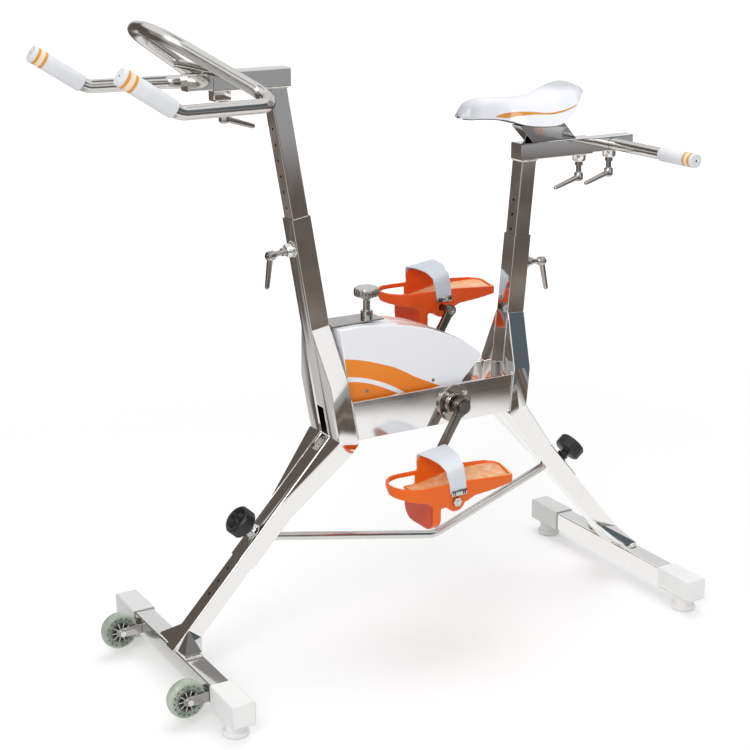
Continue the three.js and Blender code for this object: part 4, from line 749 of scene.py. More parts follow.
# half width, crown and rim of the saddle at stations from nose to tail, and how square each crossing is
saddleForm = {
    "stations": [165.0, 182.0, 205.0, 257.0, 292.0, 349.0, 379.0, 412.0, 453.0],
    "halfWidth": [12.0, 25.0, 29.0, 34.0, 64.0, 82.0, 79.0, 60.0, 16.0],
    "top": [1050.0, 1067.0, 1074.5, 1074.0, 1072.0, 1078.0, 1091.0, 1097.0, 1084.0],
    "rim": [1040.0, 1039.0, 1039.0, 1033.0, 1023.0, 1023.0, 1038.0, 1062.0, 1075.0],
    "noseSquare": 4.2, "tailSquare": 2.0, "squareFrom": 208.0, "squareTo": 349.0,
    "inset": 4.0, "floor": 4.0, "along": 96, "around": 72, "hemRound": 0.7, "hemDrop": 0.2, "fill": 0.95,
}


def saddleCurve(key, x):
    # a smooth curve through the values at the stations
    places, values = saddleForm["stations"], saddleForm[key]
    last = len(places) - 1
    i = min(max(sum(1 for p in places if p <= x) - 1, 0), last - 1)
    before, after = max(i - 1, 0), min(i + 2, last)
    run = places[i + 1] - places[i]
    t = (x - places[i]) / run
    startSlope = (values[i + 1] - values[before]) / (places[i + 1] - places[before]) * run
    endSlope = (values[after] - values[i]) / (places[after] - places[i]) * run
    return (values[i] * (2 * t ** 3 - 3 * t ** 2 + 1) + startSlope * (t ** 3 - 2 * t ** 2 + t)
            + values[i + 1] * (3 * t ** 2 - 2 * t ** 3) + endSlope * (t ** 3 - t ** 2))


def saddleRing(x):
    # one crossing: over the crown from side to side, then back below it
    form = saddleForm
    half, top, rim = (saddleCurve(key, x) for key in ("halfWidth", "top", "rim"))
    share = min(max((x - form["squareFrom"]) / (form["squareTo"] - form["squareFrom"]), 0.0), 1.0)
    eased = share * share * (3 - 2 * share)
    square = form["noseSquare"] + (form["tailSquare"] - form["noseSquare"]) * eased
    crossings = (-math.cos(i / form["around"] * math.pi) for i in range(form["around"] + 1))
    ring = [(x, across * half, top - (top - rim) * abs(across) ** square) for across in crossings]
    inner, hem, floor = half - form["inset"], half - form["hemRound"], form["floor"]
    under = [(hem, -form["hemDrop"]), (inner, floor / 4), (0.0, floor), (-inner, floor / 4), (-hem, -form["hemDrop"])]
    return ring + [(x, y, rim + lift) for y, lift in under]


def saddleCover():
    work = bmesh.new()
    form = saddleForm
    rings = []
    for i in range(form["along"] + 1):
        share = i / form["along"]
        eased = (1 - math.cos(math.pi * share)) / 2
        share = share + (eased - share) * 2 / 3
        x = form["stations"][0] + (form["stations"][-1] - form["stations"][0]) * share
        rings.append([work.verts.new(Vector(p) * mm) for p in saddleRing(x)])
    joinRings(work, rings, True)
    bmesh.ops.remove_doubles(work, verts=work.verts, dist=sameSpot["saddle"])
    bmesh.ops.triangulate(work, faces=[f for f in work.faces if len(f.verts) > 4])
    bmesh.ops.recalc_face_normals(work, faces=work.faces)
    return meshOf("saddleCover", work, 50)


saddle = show("saddle_cover", saddleCover(), "saddleVinyl", node="saddle_cushion")
print("saddle made")


# Trees that grow what repeats or follows a path

socketKinds = {float: "NodeSocketFloat", int: "NodeSocketInt", Vector: "NodeSocketVector"}


def startTree(name, sizes):
    tree = bpy.data.node_groups.new(name, "GeometryNodeTree")
    tree.interface.new_socket("Geometry", in_out="INPUT", socket_type="NodeSocketGeometry")
    for label, value in sizes.items():
        socket = tree.interface.new_socket(label, in_out="INPUT", socket_type=socketKinds[type(value)])
        socket.default_value = value
    tree.interface.new_socket("Finish", in_out="INPUT", socket_type="NodeSocketMaterial")
    tree.interface.new_socket("Geometry", in_out="OUTPUT", socket_type="NodeSocketGeometry")
    entry = tree.nodes.new("NodeGroupInput")
    return Wire(tree), {socket.name: Wire(tree, socket) for socket in entry.outputs if socket.name}


def endTree(start, given, grown, smooth=True):
    if smooth:
        grown = start.make("GeometryNodeSetShadeSmooth", {"Geometry": grown})
    real = start.make("GeometryNodeRealizeInstances", {0: grown})
    painted = start.make("GeometryNodeSetMaterial", {"Geometry": real, "Material": given["Finish"]})
    leaving = start.tree.nodes.new("NodeGroupOutput")
    start.tree.links.new(painted.socket, leaving.inputs["Geometry"])
    return start.tree


def grow(name, tree, seedMesh, values, paint, body=None, slot=None, node=None):
    # a piece grown from loose points or lines, with its tree's own sizes where values gives none
    seed = added(name + "Seed", seedMesh)
    modifier = seed.modifiers.new("grow", "NODES")
    modifier.node_group = tree
    values = {**values, "Finish": finishes[paint]}
    for item in tree.interface.items_tree:
        if item.item_type == "SOCKET" and item.in_out == "INPUT" and item.name in values:
            modifier[item.identifier] = values[item.name]
    return show(name, baked(seed), paint, body, slot, node)


def linesMesh(name, lines, bends=None):
    # open or closed lines as loose edges; bends gives the fillet at each point
    mesh = bpy.data.meshes.new(name)
    points, edges = [], []
    for line, closed in lines:
        first = len(points)
        points.extend(line)
        edges.extend((first + i, first + i + 1) for i in range(len(line) - 1))
        if closed:
            edges.append((first + len(line) - 1, first))
    mesh.from_pydata(points, edges, [])
    if bends:
        fillet = mesh.attributes.new("bend", "FLOAT", "POINT")
        fillet.data.foreach_set("value", bends)
    return mesh


def turnedTo(start, vector, axis):
    return start.make("FunctionNodeAlignRotationToVector", {"Vector": vector}, axis=axis)


def placed(start, given, grown):
    return start.make("GeometryNodeTransform", {
        "Geometry": grown, "Translation": given["Centre"], "Rotation": given["Turn"]})


def bentTubeTree():
    # a round tube along a line, bent at its corners
    start, given = startTree("bentTube", {"Tube radius": 0.0126, "Sides": 40, "Arc steps": 18})
    line = start.make("GeometryNodeMeshToCurve", {"Mesh": given["Geometry"]})
    bend = start.make("GeometryNodeInputNamedAttribute", {"Name": "bend"}, data_type="FLOAT")
    bent = start.make("GeometryNodeFilletCurve", {
        "Curve": line, "Count": given["Arc steps"], "Radius": bend, "Limit Radius": True}, mode="POLY")
    section = start.make("GeometryNodeCurvePrimitiveCircle", {
        "Resolution": given["Sides"], "Radius": given["Tube radius"]})
    tube = start.make("GeometryNodeCurveToMesh", {"Curve": bent, "Profile Curve": section, "Fill Caps": True})
    return endTree(start, given, tube)


def weldTree():
    # a run of flattened beads of uneven size along a line
    start, given = startTree("weldRun", {
        "Bead radius": 0.0018, "Pitch": 0.0016, "Flatness": 0.55, "Least": 0.82, "Most": 1.12, "Seed": 4})
    line = start.make("GeometryNodeMeshToCurve", {"Mesh": given["Geometry"]})
    spaced = start.make("GeometryNodeResampleCurve", {"Curve": line, "Length": given["Pitch"]}, mode="LENGTH")
    bead = start.make("GeometryNodeMeshIcoSphere", {"Radius": given["Bead radius"], "Subdivisions": 2})
    turn = turnedTo(start, start.make("GeometryNodeInputTangent"), "Z")
    wander = start.make("FunctionNodeRandomValue", {
        2: given["Least"], 3: given["Most"], "Seed": given["Seed"]}, 1, data_type="FLOAT")
    size = start.make("ShaderNodeCombineXYZ", {0: wander, 1: wander, 2: given["Flatness"]})
    run = start.make("GeometryNodeInstanceOnPoints", {
        "Points": spaced, "Instance": bead, "Rotation": turn, "Scale": size})
    return endTree(start, given, run)


def ringTree():
    # ribs or dots round an axis, in two rings that lie apart by the gap
    start, given = startTree("ribRing", {
        "Count": 24, "Ring radius": 0.02, "Rib radius": 0.001, "Rib length": 0.01, "Gap": 0.0,
        "Centre": Vector((0, 0, 0)), "Turn": Vector((0, 0, 0))})
    ring = start.make("GeometryNodeMeshCircle", {"Vertices": given["Count"], "Radius": given["Ring radius"]})
    rib = start.make("GeometryNodeMeshUVSphere", {"Segments": 12, "Rings": 10, "Radius": given["Rib radius"]})
    stretch = start.maths("DIVIDE", given["Rib length"], given["Rib radius"] * 2.0)
    shape = start.make("ShaderNodeCombineXYZ", {0: 1.0, 1: 1.0, 2: stretch})
    ribs = start.make("GeometryNodeInstanceOnPoints", {"Points": ring, "Instance": rib, "Scale": shape})
    joined = start.make("GeometryNodeJoinGeometry")
    for way in (0.5, -0.5):
        offset = start.make("ShaderNodeCombineXYZ", {2: given["Gap"] * way})
        moved = start.make("GeometryNodeTransform", {"Geometry": ribs, "Translation": offset})
        start.tree.links.new(moved.socket, joined.socket.node.inputs[0])
    return endTree(start, given, placed(start, given, joined))


def screwTree():
    # a flat screw head with a socket, set at each point and turned to its facing
    start, given = startTree("screwSet", {
        "Head radius": 0.004, "Head height": 0.002, "Socket share": 0.5, "Sides": 24})
    facing = start.make("GeometryNodeInputNamedAttribute", {"Name": "facing"}, data_type="FLOAT_VECTOR")
    head = start.make("GeometryNodeMeshCylinder", {
        "Vertices": given["Sides"], "Radius": given["Head radius"], "Depth": given["Head height"]}, fill_type="NGON")
    socket = start.make("GeometryNodeMeshCylinder", {
        "Vertices": 6, "Radius": given["Head radius"] * given["Socket share"],
        "Depth": given["Head height"] * 1.2}, fill_type="NGON")
    raised = start.make("ShaderNodeCombineXYZ", {2: given["Head height"] * 0.5})
    socket = start.make("GeometryNodeTransform", {"Geometry": socket, "Translation": raised})
    cut = start.make("GeometryNodeMeshBoolean", {"Mesh 1": head, "Mesh 2": socket}, operation="DIFFERENCE")
    seated = start.make("GeometryNodeTransform", {"Geometry": cut, "Translation": raised})
    screws = start.make("GeometryNodeInstanceOnPoints", {
        "Points": given["Geometry"], "Instance": seated, "Rotation": turnedTo(start, facing, "Z")})
    return endTree(start, given, screws, False)


def spokeTree():
    # flat bars round an axis, each pointing out from it
    start, given = startTree("spokeRing", {
        "Count": 10, "Ring radius": 0.013, "Bar": Vector((0.014, 0.0016, 0.001)),
        "Centre": Vector((0, 0, 0)), "Turn": Vector((0, 0, 0))})
    ring = start.make("GeometryNodeMeshCircle", {"Vertices": given["Count"], "Radius": given["Ring radius"]})
    bar = start.make("GeometryNodeMeshCube", {"Size": given["Bar"]})
    outward = turnedTo(start, start.make("GeometryNodeInputPosition"), "X")
    bars = start.make("GeometryNodeInstanceOnPoints", {"Points": ring, "Instance": bar, "Rotation": outward})
    return endTree(start, given, placed(start, given, bars), False)


bentTube, weldRun, ribRing, screwSet, spokeRing = bentTubeTree(), weldTree(), ringTree(), screwTree(), spokeTree()
emptySeed = linesMesh("emptySeed", [])
print("trees built")


# half of the looped tube, from the tip of a prong to the top of the loop
loopForm = {
    "radius": 12.6, "sides": 48, "arcSteps": 20, "endShort": 3.3,
    "points": [(-609.0, 212.7, 1187.5), (-507.7, 211.5, 1121.5), (-343.0, 200.0, 1121.2), (-309.0, 133.3, 1126.2),
               (-483.0, 65.8, 1239.8)],
    "bends": [0.0, 38.0, 30.0, 30.0, 78.0],
    "cross": {"x": -376.0, "z": 1166.3, "radius": 8.0, "sides": 36},
}


def handlebarLine():
    near = [Vector((x, -y, z)) for x, y, z in loopForm["points"]]
    near[0] = near[0] + (near[1] - near[0]).normalized() * loopForm["endShort"]
    far = [Vector((p.x, -p.y, p.z)) for p in reversed(near)]
    bends = loopForm["bends"] + list(reversed(loopForm["bends"]))
    return [p * mm for p in near + far], [b * mm for b in bends]


line, bends = handlebarLine()
grow("handlebar_loop", bentTube, linesMesh("loopLine", [(line, False)], bends), {
    "Tube radius": loopForm["radius"] * mm, "Sides": loopForm["sides"], "Arc steps": loopForm["arcSteps"]},
    "tubeChrome", node="handlebar_tube")

cross = loopForm["cross"]
back, apex = loopForm["points"][3:]
halfCross = back[1] + (apex[1] - back[1]) * (cross["x"] - back[0]) / (apex[0] - back[0])
crossLine = [Vector((cross["x"], way * halfCross, cross["z"])) * mm for way in (-1, 1)]
grow("handlebar_cross", bentTube, linesMesh("crossLine", [(crossLine, False)], [0.0, 0.0]), {
    "Tube radius": cross["radius"] * mm, "Sides": cross["sides"]}, "tubeChrome", "handlebar", slots["handlebar_tube"])


def turnedMesh(name, profile, count, place, along, smoothBelow=40):
    # (radius, distance) points from axis to axis, turned round and set at place, in metres, facing along
    work = bmesh.new()
    turn = Vector((0, 0, 1)).rotation_difference(Vector(along)).to_matrix().to_4x4()
    turn.translation = Vector(place)
    rings = []
    for radius, far in profile:
        ring = circle(radius * mm, count) if radius else [(0, 0)]
        rings.append([work.verts.new((u, v, far * mm)) for u, v in ring])
    joinRings(work, rings)
    bmesh.ops.remove_doubles(work, verts=work.verts, dist=sameSpot["turned"])
    bmesh.ops.recalc_face_normals(work, faces=work.faces)
    work.transform(turn)
    return meshOf(name, work, smoothBelow)


gripForm = {
    "endWall": 3.0, "edgeRound": 2.6, "edgeSteps": 6, "sides": 48, "tipHole": (2.1, 2.6), "holeLip": 0.2,
    "loose": 0.3, "mouthLip": (1.2, 0.35),
    "prong": {"core": 12.6, "wall": 3.4, "length": 109.0},
    "handle": {"tip": (535.0, -272.0, 962.5), "core": 12.0, "wall": 2.3, "length": 100.0},
}


def addGrip(name, paint, tip, along, size, node):
    # a sleeve with a rounded closed end at tip, running along the tube
    length, edge = size["length"], gripForm["edgeRound"]
    outer, bore = size["core"] + size["wall"], size["core"] + gripForm["loose"]
    (hole, deep), lip, steps = gripForm["tipHole"], gripForm["holeLip"], gripForm["edgeSteps"]
    profile = [(0.0, length - deep), (hole, length - deep), (hole, length - lip), (hole + lip, length),
               (outer - edge - 2.0, length), (outer - edge, length - 0.15)]
    for i in range(1, steps + 1):
        angle = i / steps * math.pi / 2
        profile.append((outer - edge + edge * math.sin(angle), length - edge + edge * math.cos(angle)))
    (mouth, half), inner = gripForm["mouthLip"], length - gripForm["endWall"]
    profile += [(outer, mouth), (outer - half, half), (outer - mouth, 0.0), (bore, 0.0), (bore, inner), (0.0, inner)]
    start = Vector(tip) + Vector(along) * length
    finish(paint, gripPattern(tuple(Vector(tip) * mm), tuple(along)), {})
    show(name, turnedMesh("gripSleeve", profile, gripForm["sides"], start * mm, -Vector(along)), paint, node=node)


for side, way in bothSides:
    tip, prong = (Vector((x, way * y, z)) for x, y, z in loopForm["points"][:2])
    addGrip("grip_sleeve_" + side, "gripSkin_" + side, tip, (prong - tip).normalized(), gripForm["prong"],
            "grip_" + side)
addGrip("handle_sleeve", "gripSkin_handle", gripForm["handle"]["tip"], crosswise, gripForm["handle"], "handle_grip")
dress("tie_tube", plainRound, "tubeChrome")
print("handlebar and grips made")


def elbowPoint(tube, x, y, z):
    # a point given in the frame of a leaning tube
    place, lean = leans[tube]
    c, s = math.cos(lean), math.sin(lean)
    return Vector((place[0] + x * c + z * s, y, place[1] - x * s + z * c)) * mm


def squareLoop(tube, half, z, slope):
    # round a square tube at height z, on a plane that slopes across it
    corner = [(-half, -half), (half, -half), (half, half), (-half, half)]
    return ([elbowPoint(tube, x, y, z + x * slope) for x, y in corner], True)


def mitreLoop(tube, leg, half):
    # where a post sleeve meets the sleeve of the leg below it
    return squareLoop(tube, half, 0.0, -math.tan((leans[leg][1] - leans[tube][1]) / 2))


def levelLoop(tube, half, level):
    # round a leaning square tube where a level face meets it
    place, lean = leans[tube]
    return squareLoop(tube, half, (level - place[1]) / math.cos(lean), math.tan(lean))


def circleLoop(centre, facing, radius, count=40):
    turn = Vector((0, 0, 1)).rotation_difference(Vector(facing))
    middle = Vector(centre) * mm
    angles = (2 * math.pi * i / count for i in range(count))
    return ([middle + turn @ (Vector((math.cos(a), math.sin(a), 0.0)) * radius * mm) for a in angles], True)


def railSeam(tube, x, way, low, high):
    # up the outer face at the end of a side rail, then over its top edge
    outer, inner = weldForm["railSides"]
    return ([elbowPoint(tube, x, way * outer, z) for z in (low, (low + high) / 2, high)]
            + [elbowPoint(tube, x, way * inner, high)], False)


def bossLoop(tube, x, z, out, radius):
    # round a threaded boss on the front or back of a leaning tube
    lean = leans[tube][1]
    facing = Vector((math.cos(lean), 0, -math.sin(lean))) * out
    return circleLoop(tuple(elbowPoint(tube, x, 0.0, z) / mm), facing, radius)


def footLoop(toe, heel):
    # the two seams of a leg's foot on its floor bar
    across, level = weldForm["footHalf"], weldForm["footLevel"]
    return ([Vector((x, y, level)) * mm for x, y in ((toe, -across), (heel, -across), (heel, across), (toe, across))],
            True)


weldForm = {
    "half": 20.2, "postHalf": 17.8, "bead": 1.7, "pitch": 1.7, "boss": 14.2, "legBoss": 13.7,
    "railSides": (60.2, 52.5), "footHalf": 60.0, "footLevel": 74.0,
}
half, postHalf, boss, legBoss = (weldForm[key] for key in ("half", "postHalf", "boss", "legBoss"))
down = (0, 0, -1)
weldRuns = {
    "frame": [
        mitreLoop("head", "frontLeg", half), mitreLoop("seat", "rearLeg", half),
        *(railSeam("head", 20.3, way, 4.0, 83.0) for way in (-1, 1)),
        *(railSeam("seat", -20.3, way, 0.0, 78.0) for way in (-1, 1)),
        bossLoop("head", -half, 391.5, -1, boss), bossLoop("seat", half, 295.5, 1, boss),
        bossLoop("frontLeg", -half, -244.0, -1, legBoss), bossLoop("rearLeg", half, -217.0, 1, legBoss),
    ],
    "head_stem": [levelLoop("head", postHalf, 1125.0)],
    "seat_stem": [levelLoop("seat", postHalf, 945.6), circleLoop((461.0, 0.0, 945.8), down, boss)],
    "handle_slide": [circleLoop((538.0, 0.0, 948.3), down, boss)],
    "front_foot": [footLoop(-474.0, -440.0)],
    "rear_foot": [footLoop(608.0, 574.0)],
}
for body, lines in weldRuns.items():
    grow("welds_" + body, weldRun, linesMesh("weldLines", lines), {
        "Bead radius": weldForm["bead"] * mm, "Pitch": weldForm["pitch"] * mm, "Seed": len(lines)},
        "weldMetal", body, "polished_steel")


# screws and bolts are (radius, height of the head)
knurlForm = {"count": 26, "ring": 23.5, "radius": 1.6, "long": 13.0, "middle": (-41.0, 0.0, 720.5)}
wheelForm = {
    "place": (-519.5, 164.0, 52.5), "dots": 16, "dotRing": 28.5, "dotRadius": 2.0, "dotDeep": 1.4, "face": 12.2,
    "spokes": 10, "spokeRing": 13.2, "spoke": (14.0, 1.5, 1.2), "hubFace": 12.6, "boltFace": 20.6, "bolt": (5.6, 1.6),
}
bearingForm = {
    "place": (123.0, 485.0), "base": 60.4, "bore": 10.8, "sides": 72, "smoothBelow": 18,
    "bolts": 4, "boltCircle": 29.5, "boltFace": 65.4, "lean": 40.0, "bolt": (4.6, 2.8),
    "outline": [(0, 0), (38, 0), (38, 4.6), (37.5, 5.3), (36.8, 5.6), (35.6, 5.6), (34.9, 5.0), (22.5, 5.0),
                (21.6, 5.4), (21.0, 6.2), (21.0, 10.2), (20.2, 11.2), (16.0, 11.6), (14.6, 10.6), (0, 10.6), (0, 0)],
}
housingScrews = {"at": [(-67.4, 536.0), (83.3, 534.5)], "face": 46.0, "screw": (3.4, 0.9), "share": 0.45}


def screws(name, rows, size, body, paint="screwSteel", share=0.5):
    # each row is a place and the way its screw faces
    mesh = bpy.data.meshes.new(name + "Points")
    mesh.from_pydata([tuple(Vector(place) * mm) for place, _ in rows], [], [])
    facing = mesh.attributes.new("facing", "FLOAT_VECTOR", "POINT")
    facing.data.foreach_set("vector", [c for _, way in rows for c in way])
    radius, height = size
    grow(name, screwSet, mesh, {
        "Head radius": radius * mm, "Head height": height * mm, "Socket share": share}, paint, body, "chrome")


def addWheelDetail(side, way):
    # moulded holes in the tyre as dark dots of painted shade, spokes on both faces of the hub and the bolts of the
    # fork
    form = wheelForm
    x, y, z = form["place"]
    upended = Vector((math.pi / 2, 0, 0))
    grow("tyre_dots_" + side, ribRing, emptySeed, {
        "Count": form["dots"], "Ring radius": form["dotRing"] * mm, "Rib radius": form["dotRadius"] * mm,
        "Rib length": form["dotDeep"] * mm, "Gap": form["face"] * 2 * mm,
        "Centre": Vector((x, way * y, z)) * mm, "Turn": upended}, "dotDark", "wheel_" + side, "dark_plastic")
    for face, word in ((-1, "_near"), (1, "_far")):
        grow("hub_spokes_" + side + word, spokeRing, emptySeed, {
            "Count": form["spokes"], "Ring radius": form["spokeRing"] * mm, "Bar": Vector(form["spoke"]) * mm,
            "Centre": Vector((x, way * y + face * form["hubFace"], z)) * mm, "Turn": upended},
            "hubPale", "wheel_" + side, "dark_plastic")
    rows = [((x, way * y + face * form["boltFace"], z), (0, face, 0)) for face in (-1, 1)]
    screws("wheel_bolts_" + side, rows, form["bolt"], "front_foot", "boltSteel")


def addBearing(side, way):
    # a stepped disc round the crank axle with its bolts
    form = bearingForm
    x, z = form["place"]
    facing = (0, way, 0)
    profile = [(max(r, form["bore"]), h) for r, h in form["outline"]]
    mesh = turnedMesh("bearingDisc", profile, form["sides"], Vector((x, way * form["base"], z)) * mm, facing,
                      form["smoothBelow"])
    show("bearing_disc_" + side, mesh, "bearingSteel", node="bearing_" + side)
    rows = []
    for i in range(form["bolts"]):
        angle = math.radians(form["lean"] + i * 360 / form["bolts"])
        u, v = form["boltCircle"] * math.cos(angle), form["boltCircle"] * math.sin(angle)
        rows.append(((x + u, way * form["boltFace"], z + v), facing))
    screws("bearing_bolts_" + side, rows, form["bolt"], "frame", "boltSteel")


grow("knob_knurls", ribRing, emptySeed, {
    "Count": knurlForm["count"], "Ring radius": knurlForm["ring"] * mm, "Rib radius": knurlForm["radius"] * mm,
    "Rib length": knurlForm["long"] * mm, "Centre": Vector(knurlForm["middle"]) * mm},
    "tubeChrome", "resistance_knob", slots["tension_knob"])
for side, way in bothSides:
    addWheelDetail(side, way)
    addBearing(side, way)
    rows = [((x, way * housingScrews["face"], z), (0, way, 0)) for x, z in housingScrews["at"]]
    screws("housing_screws_" + side, rows, housingScrews["screw"], "frame", share=housingScrews["share"])
print("wheels, bearings and screws made")


# the clip at the foot of a strap and the nut of a pedal spindle, from the pedal's middle
clipForm = {
    "middle": (4.0, -55.6, 18.5), "size": (35.0, 2.0, 12.0), "round": 1.0,
    "barAt": [-13.5, -9.5, 9.5, 13.5], "barOut": 1.0, "bar": (1.8, 1.6, 9.0), "barRound": 0.4,
}
nutForm = {
    "from": 51.8, "sides": 6, "smoothBelow": 30,
    "outline": [(0, 0), (9.7, 0), (9.7, 6.08), (8.342, 7.6), (4.85, 7.6), (4.365, 9.12), (0, 9.12)],
}
crankBolt = {"place": (209.27, 84.6, 629.15), "size": (8.0, 3.2)}


def blocks(name, middles, size, radius):
    # small blocks with rounded edges, all of one size, as one mesh
    whole = bmesh.new()
    for middle in middles:
        work = bmesh.new()
        bmesh.ops.create_cube(work, size=1.0)
        work.transform(Matrix.Diagonal((*(Vector(size) * mm), 1.0)))
        rounded(work, work.edges[:], radius * mm, 2, True)
        work.transform(Matrix.Translation(Vector(middle) * mm))
        whole.from_mesh(meshOf("block", work))
    return meshOf(name, whole, 40)


for side, way in bothSides:
    centre, body = pedalForm["place"][side], bodyOf["pedal_" + side]
    form = clipForm
    x, y, z = form["middle"]
    plate = blocks("clipPlate", [form["middle"]], form["size"], form["round"])
    show("strap_clip_" + side, shifted(plate, centre), "nutSteel", body, "chrome")
    middles = [(x + at, y - form["barOut"], z) for at in form["barAt"]]
    bars = blocks("clipBars", middles, form["bar"], form["barRound"])
    show("clip_bars_" + side, shifted(bars, centre), "knobBlack", body, "black_plastic")
    start = Vector(centre) + Vector((0, way * nutForm["from"], 0)) * mm
    nut = turnedMesh("pedalNut", nutForm["outline"], nutForm["sides"], start, (0, way, 0), nutForm["smoothBelow"])
    show("pedal_nut_" + side, nut, "nutSteel", "crank", "chrome")
screws("crank_bolt", [(crankBolt["place"], (0, -1, 0))], crankBolt["size"], "crank", "nutSteel")
print("clips and nuts made")


# What the polished steel mirrors is set apart from what lights the scene: a white sheet round
# the bike with the bike's shadow painted on it as a grey strip before the front bar, a brown workshop floor past it, a
# white wall ahead of the left side and a pale ceiling.
# Pairs are where a tone starts and where it is full; those of walls and ceiling are parts of the direction
studio = {
    "floorHalf": 40.0, "floor": tone(236, 236, 236), "lift": (0.2, 0.62), "liftReach": (1.2, 4.5), "fill": 0.62,
    "sheetEdge": (1.42, 1.8), "ragged": 0.34, "sheet": (1.0, 1.0, 1.0, 1.0),
    "workshop": (0.12, 0.1, 0.088, 1.0), "patch": (0.26, 0.225, 0.2, 1.0), "patchFrom": (0.45, 0.72),
    "farBand": (5.4, 8.0), "farSlant": 0.5, "farGrey": (0.34, 0.34, 0.35, 1.0),
    # the grey strip before the front bar is the bike's shadow, painted into what the steel mirrors
    "paintedShadowStrip": (-0.46, -0.54), "paintedShadowGrey": (0.56, 0.56, 0.56, 1.0),
    "lane": (-0.87, -0.5), "laneSpread": (0.84, 0.98), "lanePale": 0.75,
    "farWall": (0.12, 0.1, 0.09, 1.0), "paleFarWall": (0.75, 0.75, 0.76, 1.0), "paleFrom": (-0.12, 0.15),
    "nearWall": (1.0, 1.0, 1.0, 1.0), "nearFrom": (0.3, -0.3),
    "nearTop": (0.3, 0.3, 0.3, 1.0), "topWithin": (-0.3, -0.5), "topFrom": (0.36, 0.42),
    "blueCloth": (0.1, 0.125, 0.145, 1.0), "clothWithin": (-0.3, -0.45), "clothFrom": (0.44, 0.48),
    "clothBelow": (0.62, 0.5), "endWall": (0.36, 0.35, 0.35, 1.0), "endWithin": (0.45, 0.2),
    "ceiling": (0.98, 0.99, 1.0, 1.0), "ceilingFrom": (0.5, 0.68),
    "zenith": (0.2, 0.2, 0.2, 1.0), "zenithFrom": (0.86, 0.91), "zenithBehind": (0.18, 0.28),
    # place, what it points at, size, power, whether it shows in reflections
    "lamps": {
        "keyLamp": ((-2.4, -2.6, 3.2), (0.0, 0.0, 0.6), 2.2, 60.0, True),
        "topLamp": ((0.6, 0.4, 3.8), (0.0, 0.0, 0.5), 2.6, 45.0, False),
    },
}


def rayKinds(start):
    # whether the camera or a mirror is looking
    rays = start.make("ShaderNodeLightPath").socket.node
    return [Wire(start.tree, rays.outputs[name]) for name in ("Is Camera Ray", "Is Glossy Ray")]


def floorMaterial():
    material = bpy.data.materials.new("paperFloor")
    start = emptied(material)
    place = start.make("ShaderNodeTexCoord", output="Object")
    x, y, z = place.axes()
    camera, glossy = rayKinds(start)
    away = place.length()
    edge = away + place.noise(1.7, 2.0) * studio["ragged"] - studio["ragged"] / 2
    laneX, laneY = studio["lane"]
    lane = start.maths("DIVIDE", x * laneX + y * laneY, away.most(0.01)).step(*studio["laneSpread"])
    # painted shadow of the bike on the sheet before the front bar
    sheet = x.step(*studio["paintedShadowStrip"]).tint(studio["sheet"], studio["paintedShadowGrey"])
    patches = place.noise(1.1, 3.0, 0.6).step(*studio["patchFrom"]).tint(studio["workshop"], studio["patch"])
    beyond = (x * studio["farSlant"] - y).step(*studio["farBand"]).tint(patches, studio["farGrey"])
    grey = (edge.step(*studio["sheetEdge"]) * (1.0 - lane * studio["lanePale"])).tint(sheet, beyond)
    paper = start.make("ShaderNodeBsdfDiffuse", {"Color": studio["floor"]})
    nearLift, farLift = studio["lift"]
    lifted = camera * (away.step(*studio["liftReach"]) * (farLift - nearLift) + nearLift)
    lift = start.make("ShaderNodeEmission", {"Color": (1, 1, 1, 1), "Strength": lifted})
    seen = start.make("ShaderNodeAddShader", {0: paper, 1: lift})
    mirrored = start.make("ShaderNodeEmission", {"Color": grey, "Strength": 1.0})
    surface = start.make("ShaderNodeMixShader", {0: glossy, 1: seen, 2: mirrored})
    start.make("ShaderNodeOutputMaterial", {"Surface": surface})
    return material


def layFloor():
    size = studio["floorHalf"]
    mesh = bpy.data.meshes.new("floor")
    mesh.from_pydata([(-size, -size, 0), (size, -size, 0), (size, size, 0), (-size, size, 0)], [], [(0, 1, 2, 3)])
    mesh.materials.append(floorMaterial())
    added("floor", mesh)


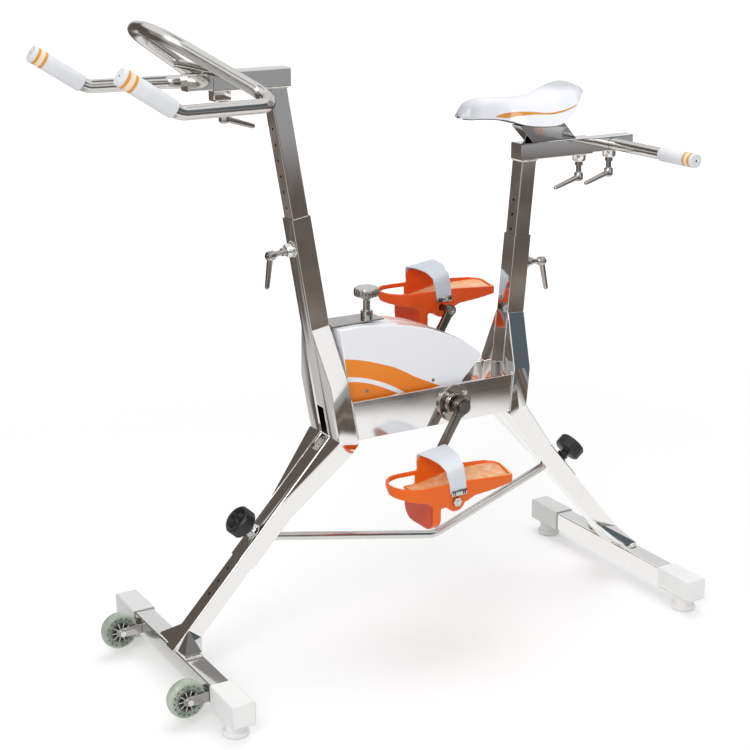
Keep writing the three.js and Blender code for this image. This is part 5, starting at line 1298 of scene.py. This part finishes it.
def lightWorld():
    world = bpy.data.worlds.new("studioWorld")
    bpy.context.scene.world = world
    start = emptied(world)
    x, y, z = start.make("ShaderNodeTexCoord", output="Generated").axes()
    camera, glossy = rayKinds(start)
    farSide = x.step(*studio["paleFrom"]).tint(studio["farWall"], studio["paleFarWall"])
    wall = y.step(*studio["nearFrom"]).tint(farSide, studio["nearWall"])
    top = y.step(*studio["topWithin"]) * z.step(*studio["topFrom"])
    cloth = y.step(*studio["clothWithin"]) * x.step(*studio["clothFrom"]) * z.step(*studio["clothBelow"])
    wall = cloth.tint(top.tint(wall, studio["nearTop"]), studio["blueCloth"])
    wall = y.size().step(*studio["endWithin"]).tint(wall, studio["endWall"])
    zenith = z.step(*studio["zenithFrom"]) * x.step(*studio["zenithBehind"])
    mirrored = zenith.tint(z.step(*studio["ceilingFrom"]).tint(wall, studio["ceiling"]), studio["zenith"])
    lit = (camera + (1.0 - camera) * studio["fill"]).tint((0, 0, 0, 1), (1, 1, 1, 1))
    sky = start.make("ShaderNodeBackground", {"Color": glossy.tint(lit, mirrored), "Strength": 1.0})
    start.make("ShaderNodeOutputWorld", {"Surface": sky})


def hangLamp(name, place, target, size, power, mirrored):
    lamp = bpy.data.lights.new(name, "AREA")
    lamp.shape = "SQUARE"
    lamp.size = size
    lamp.energy = power
    thing = added(name, lamp)
    thing.location = place
    thing.rotation_mode = "QUATERNION"
    thing.rotation_quaternion = (Vector(target) - Vector(place)).to_track_quat("-Z", "Y")
    thing.visible_glossy = mirrored


photoView = {
    "place": (-1.5519, -2.6367, 1.4747), "azimuth": -30.1114, "elevation": 16.8877, "roll": -0.2311,
    "lens": 77.665, "sensor": 36.0, "farthest": 200.0,
}


def placeCamera():
    azimuth, elevation, roll = (math.radians(photoView[k]) for k in ("azimuth", "elevation", "roll"))
    camera = bpy.data.cameras.new("photoCamera")
    camera.lens = photoView["lens"]
    camera.sensor_width = photoView["sensor"]
    camera.clip_end = photoView["farthest"]
    thing = added("photoCamera", camera)
    lift = Matrix.Rotation(math.pi / 2 - elevation, 4, "X") @ Matrix.Rotation(roll, 4, "Z")
    thing.matrix_world = Matrix.Translation(photoView["place"]) @ Matrix.Rotation(azimuth, 4, "Z") @ lift
    bpy.context.scene.camera = thing


layFloor()
lightWorld()
for name, lamp in studio["lamps"].items():
    hangLamp(name, *lamp)
placeCamera()
bpy.context.scene.view_settings.view_transform = "Standard"
print("studio lit")
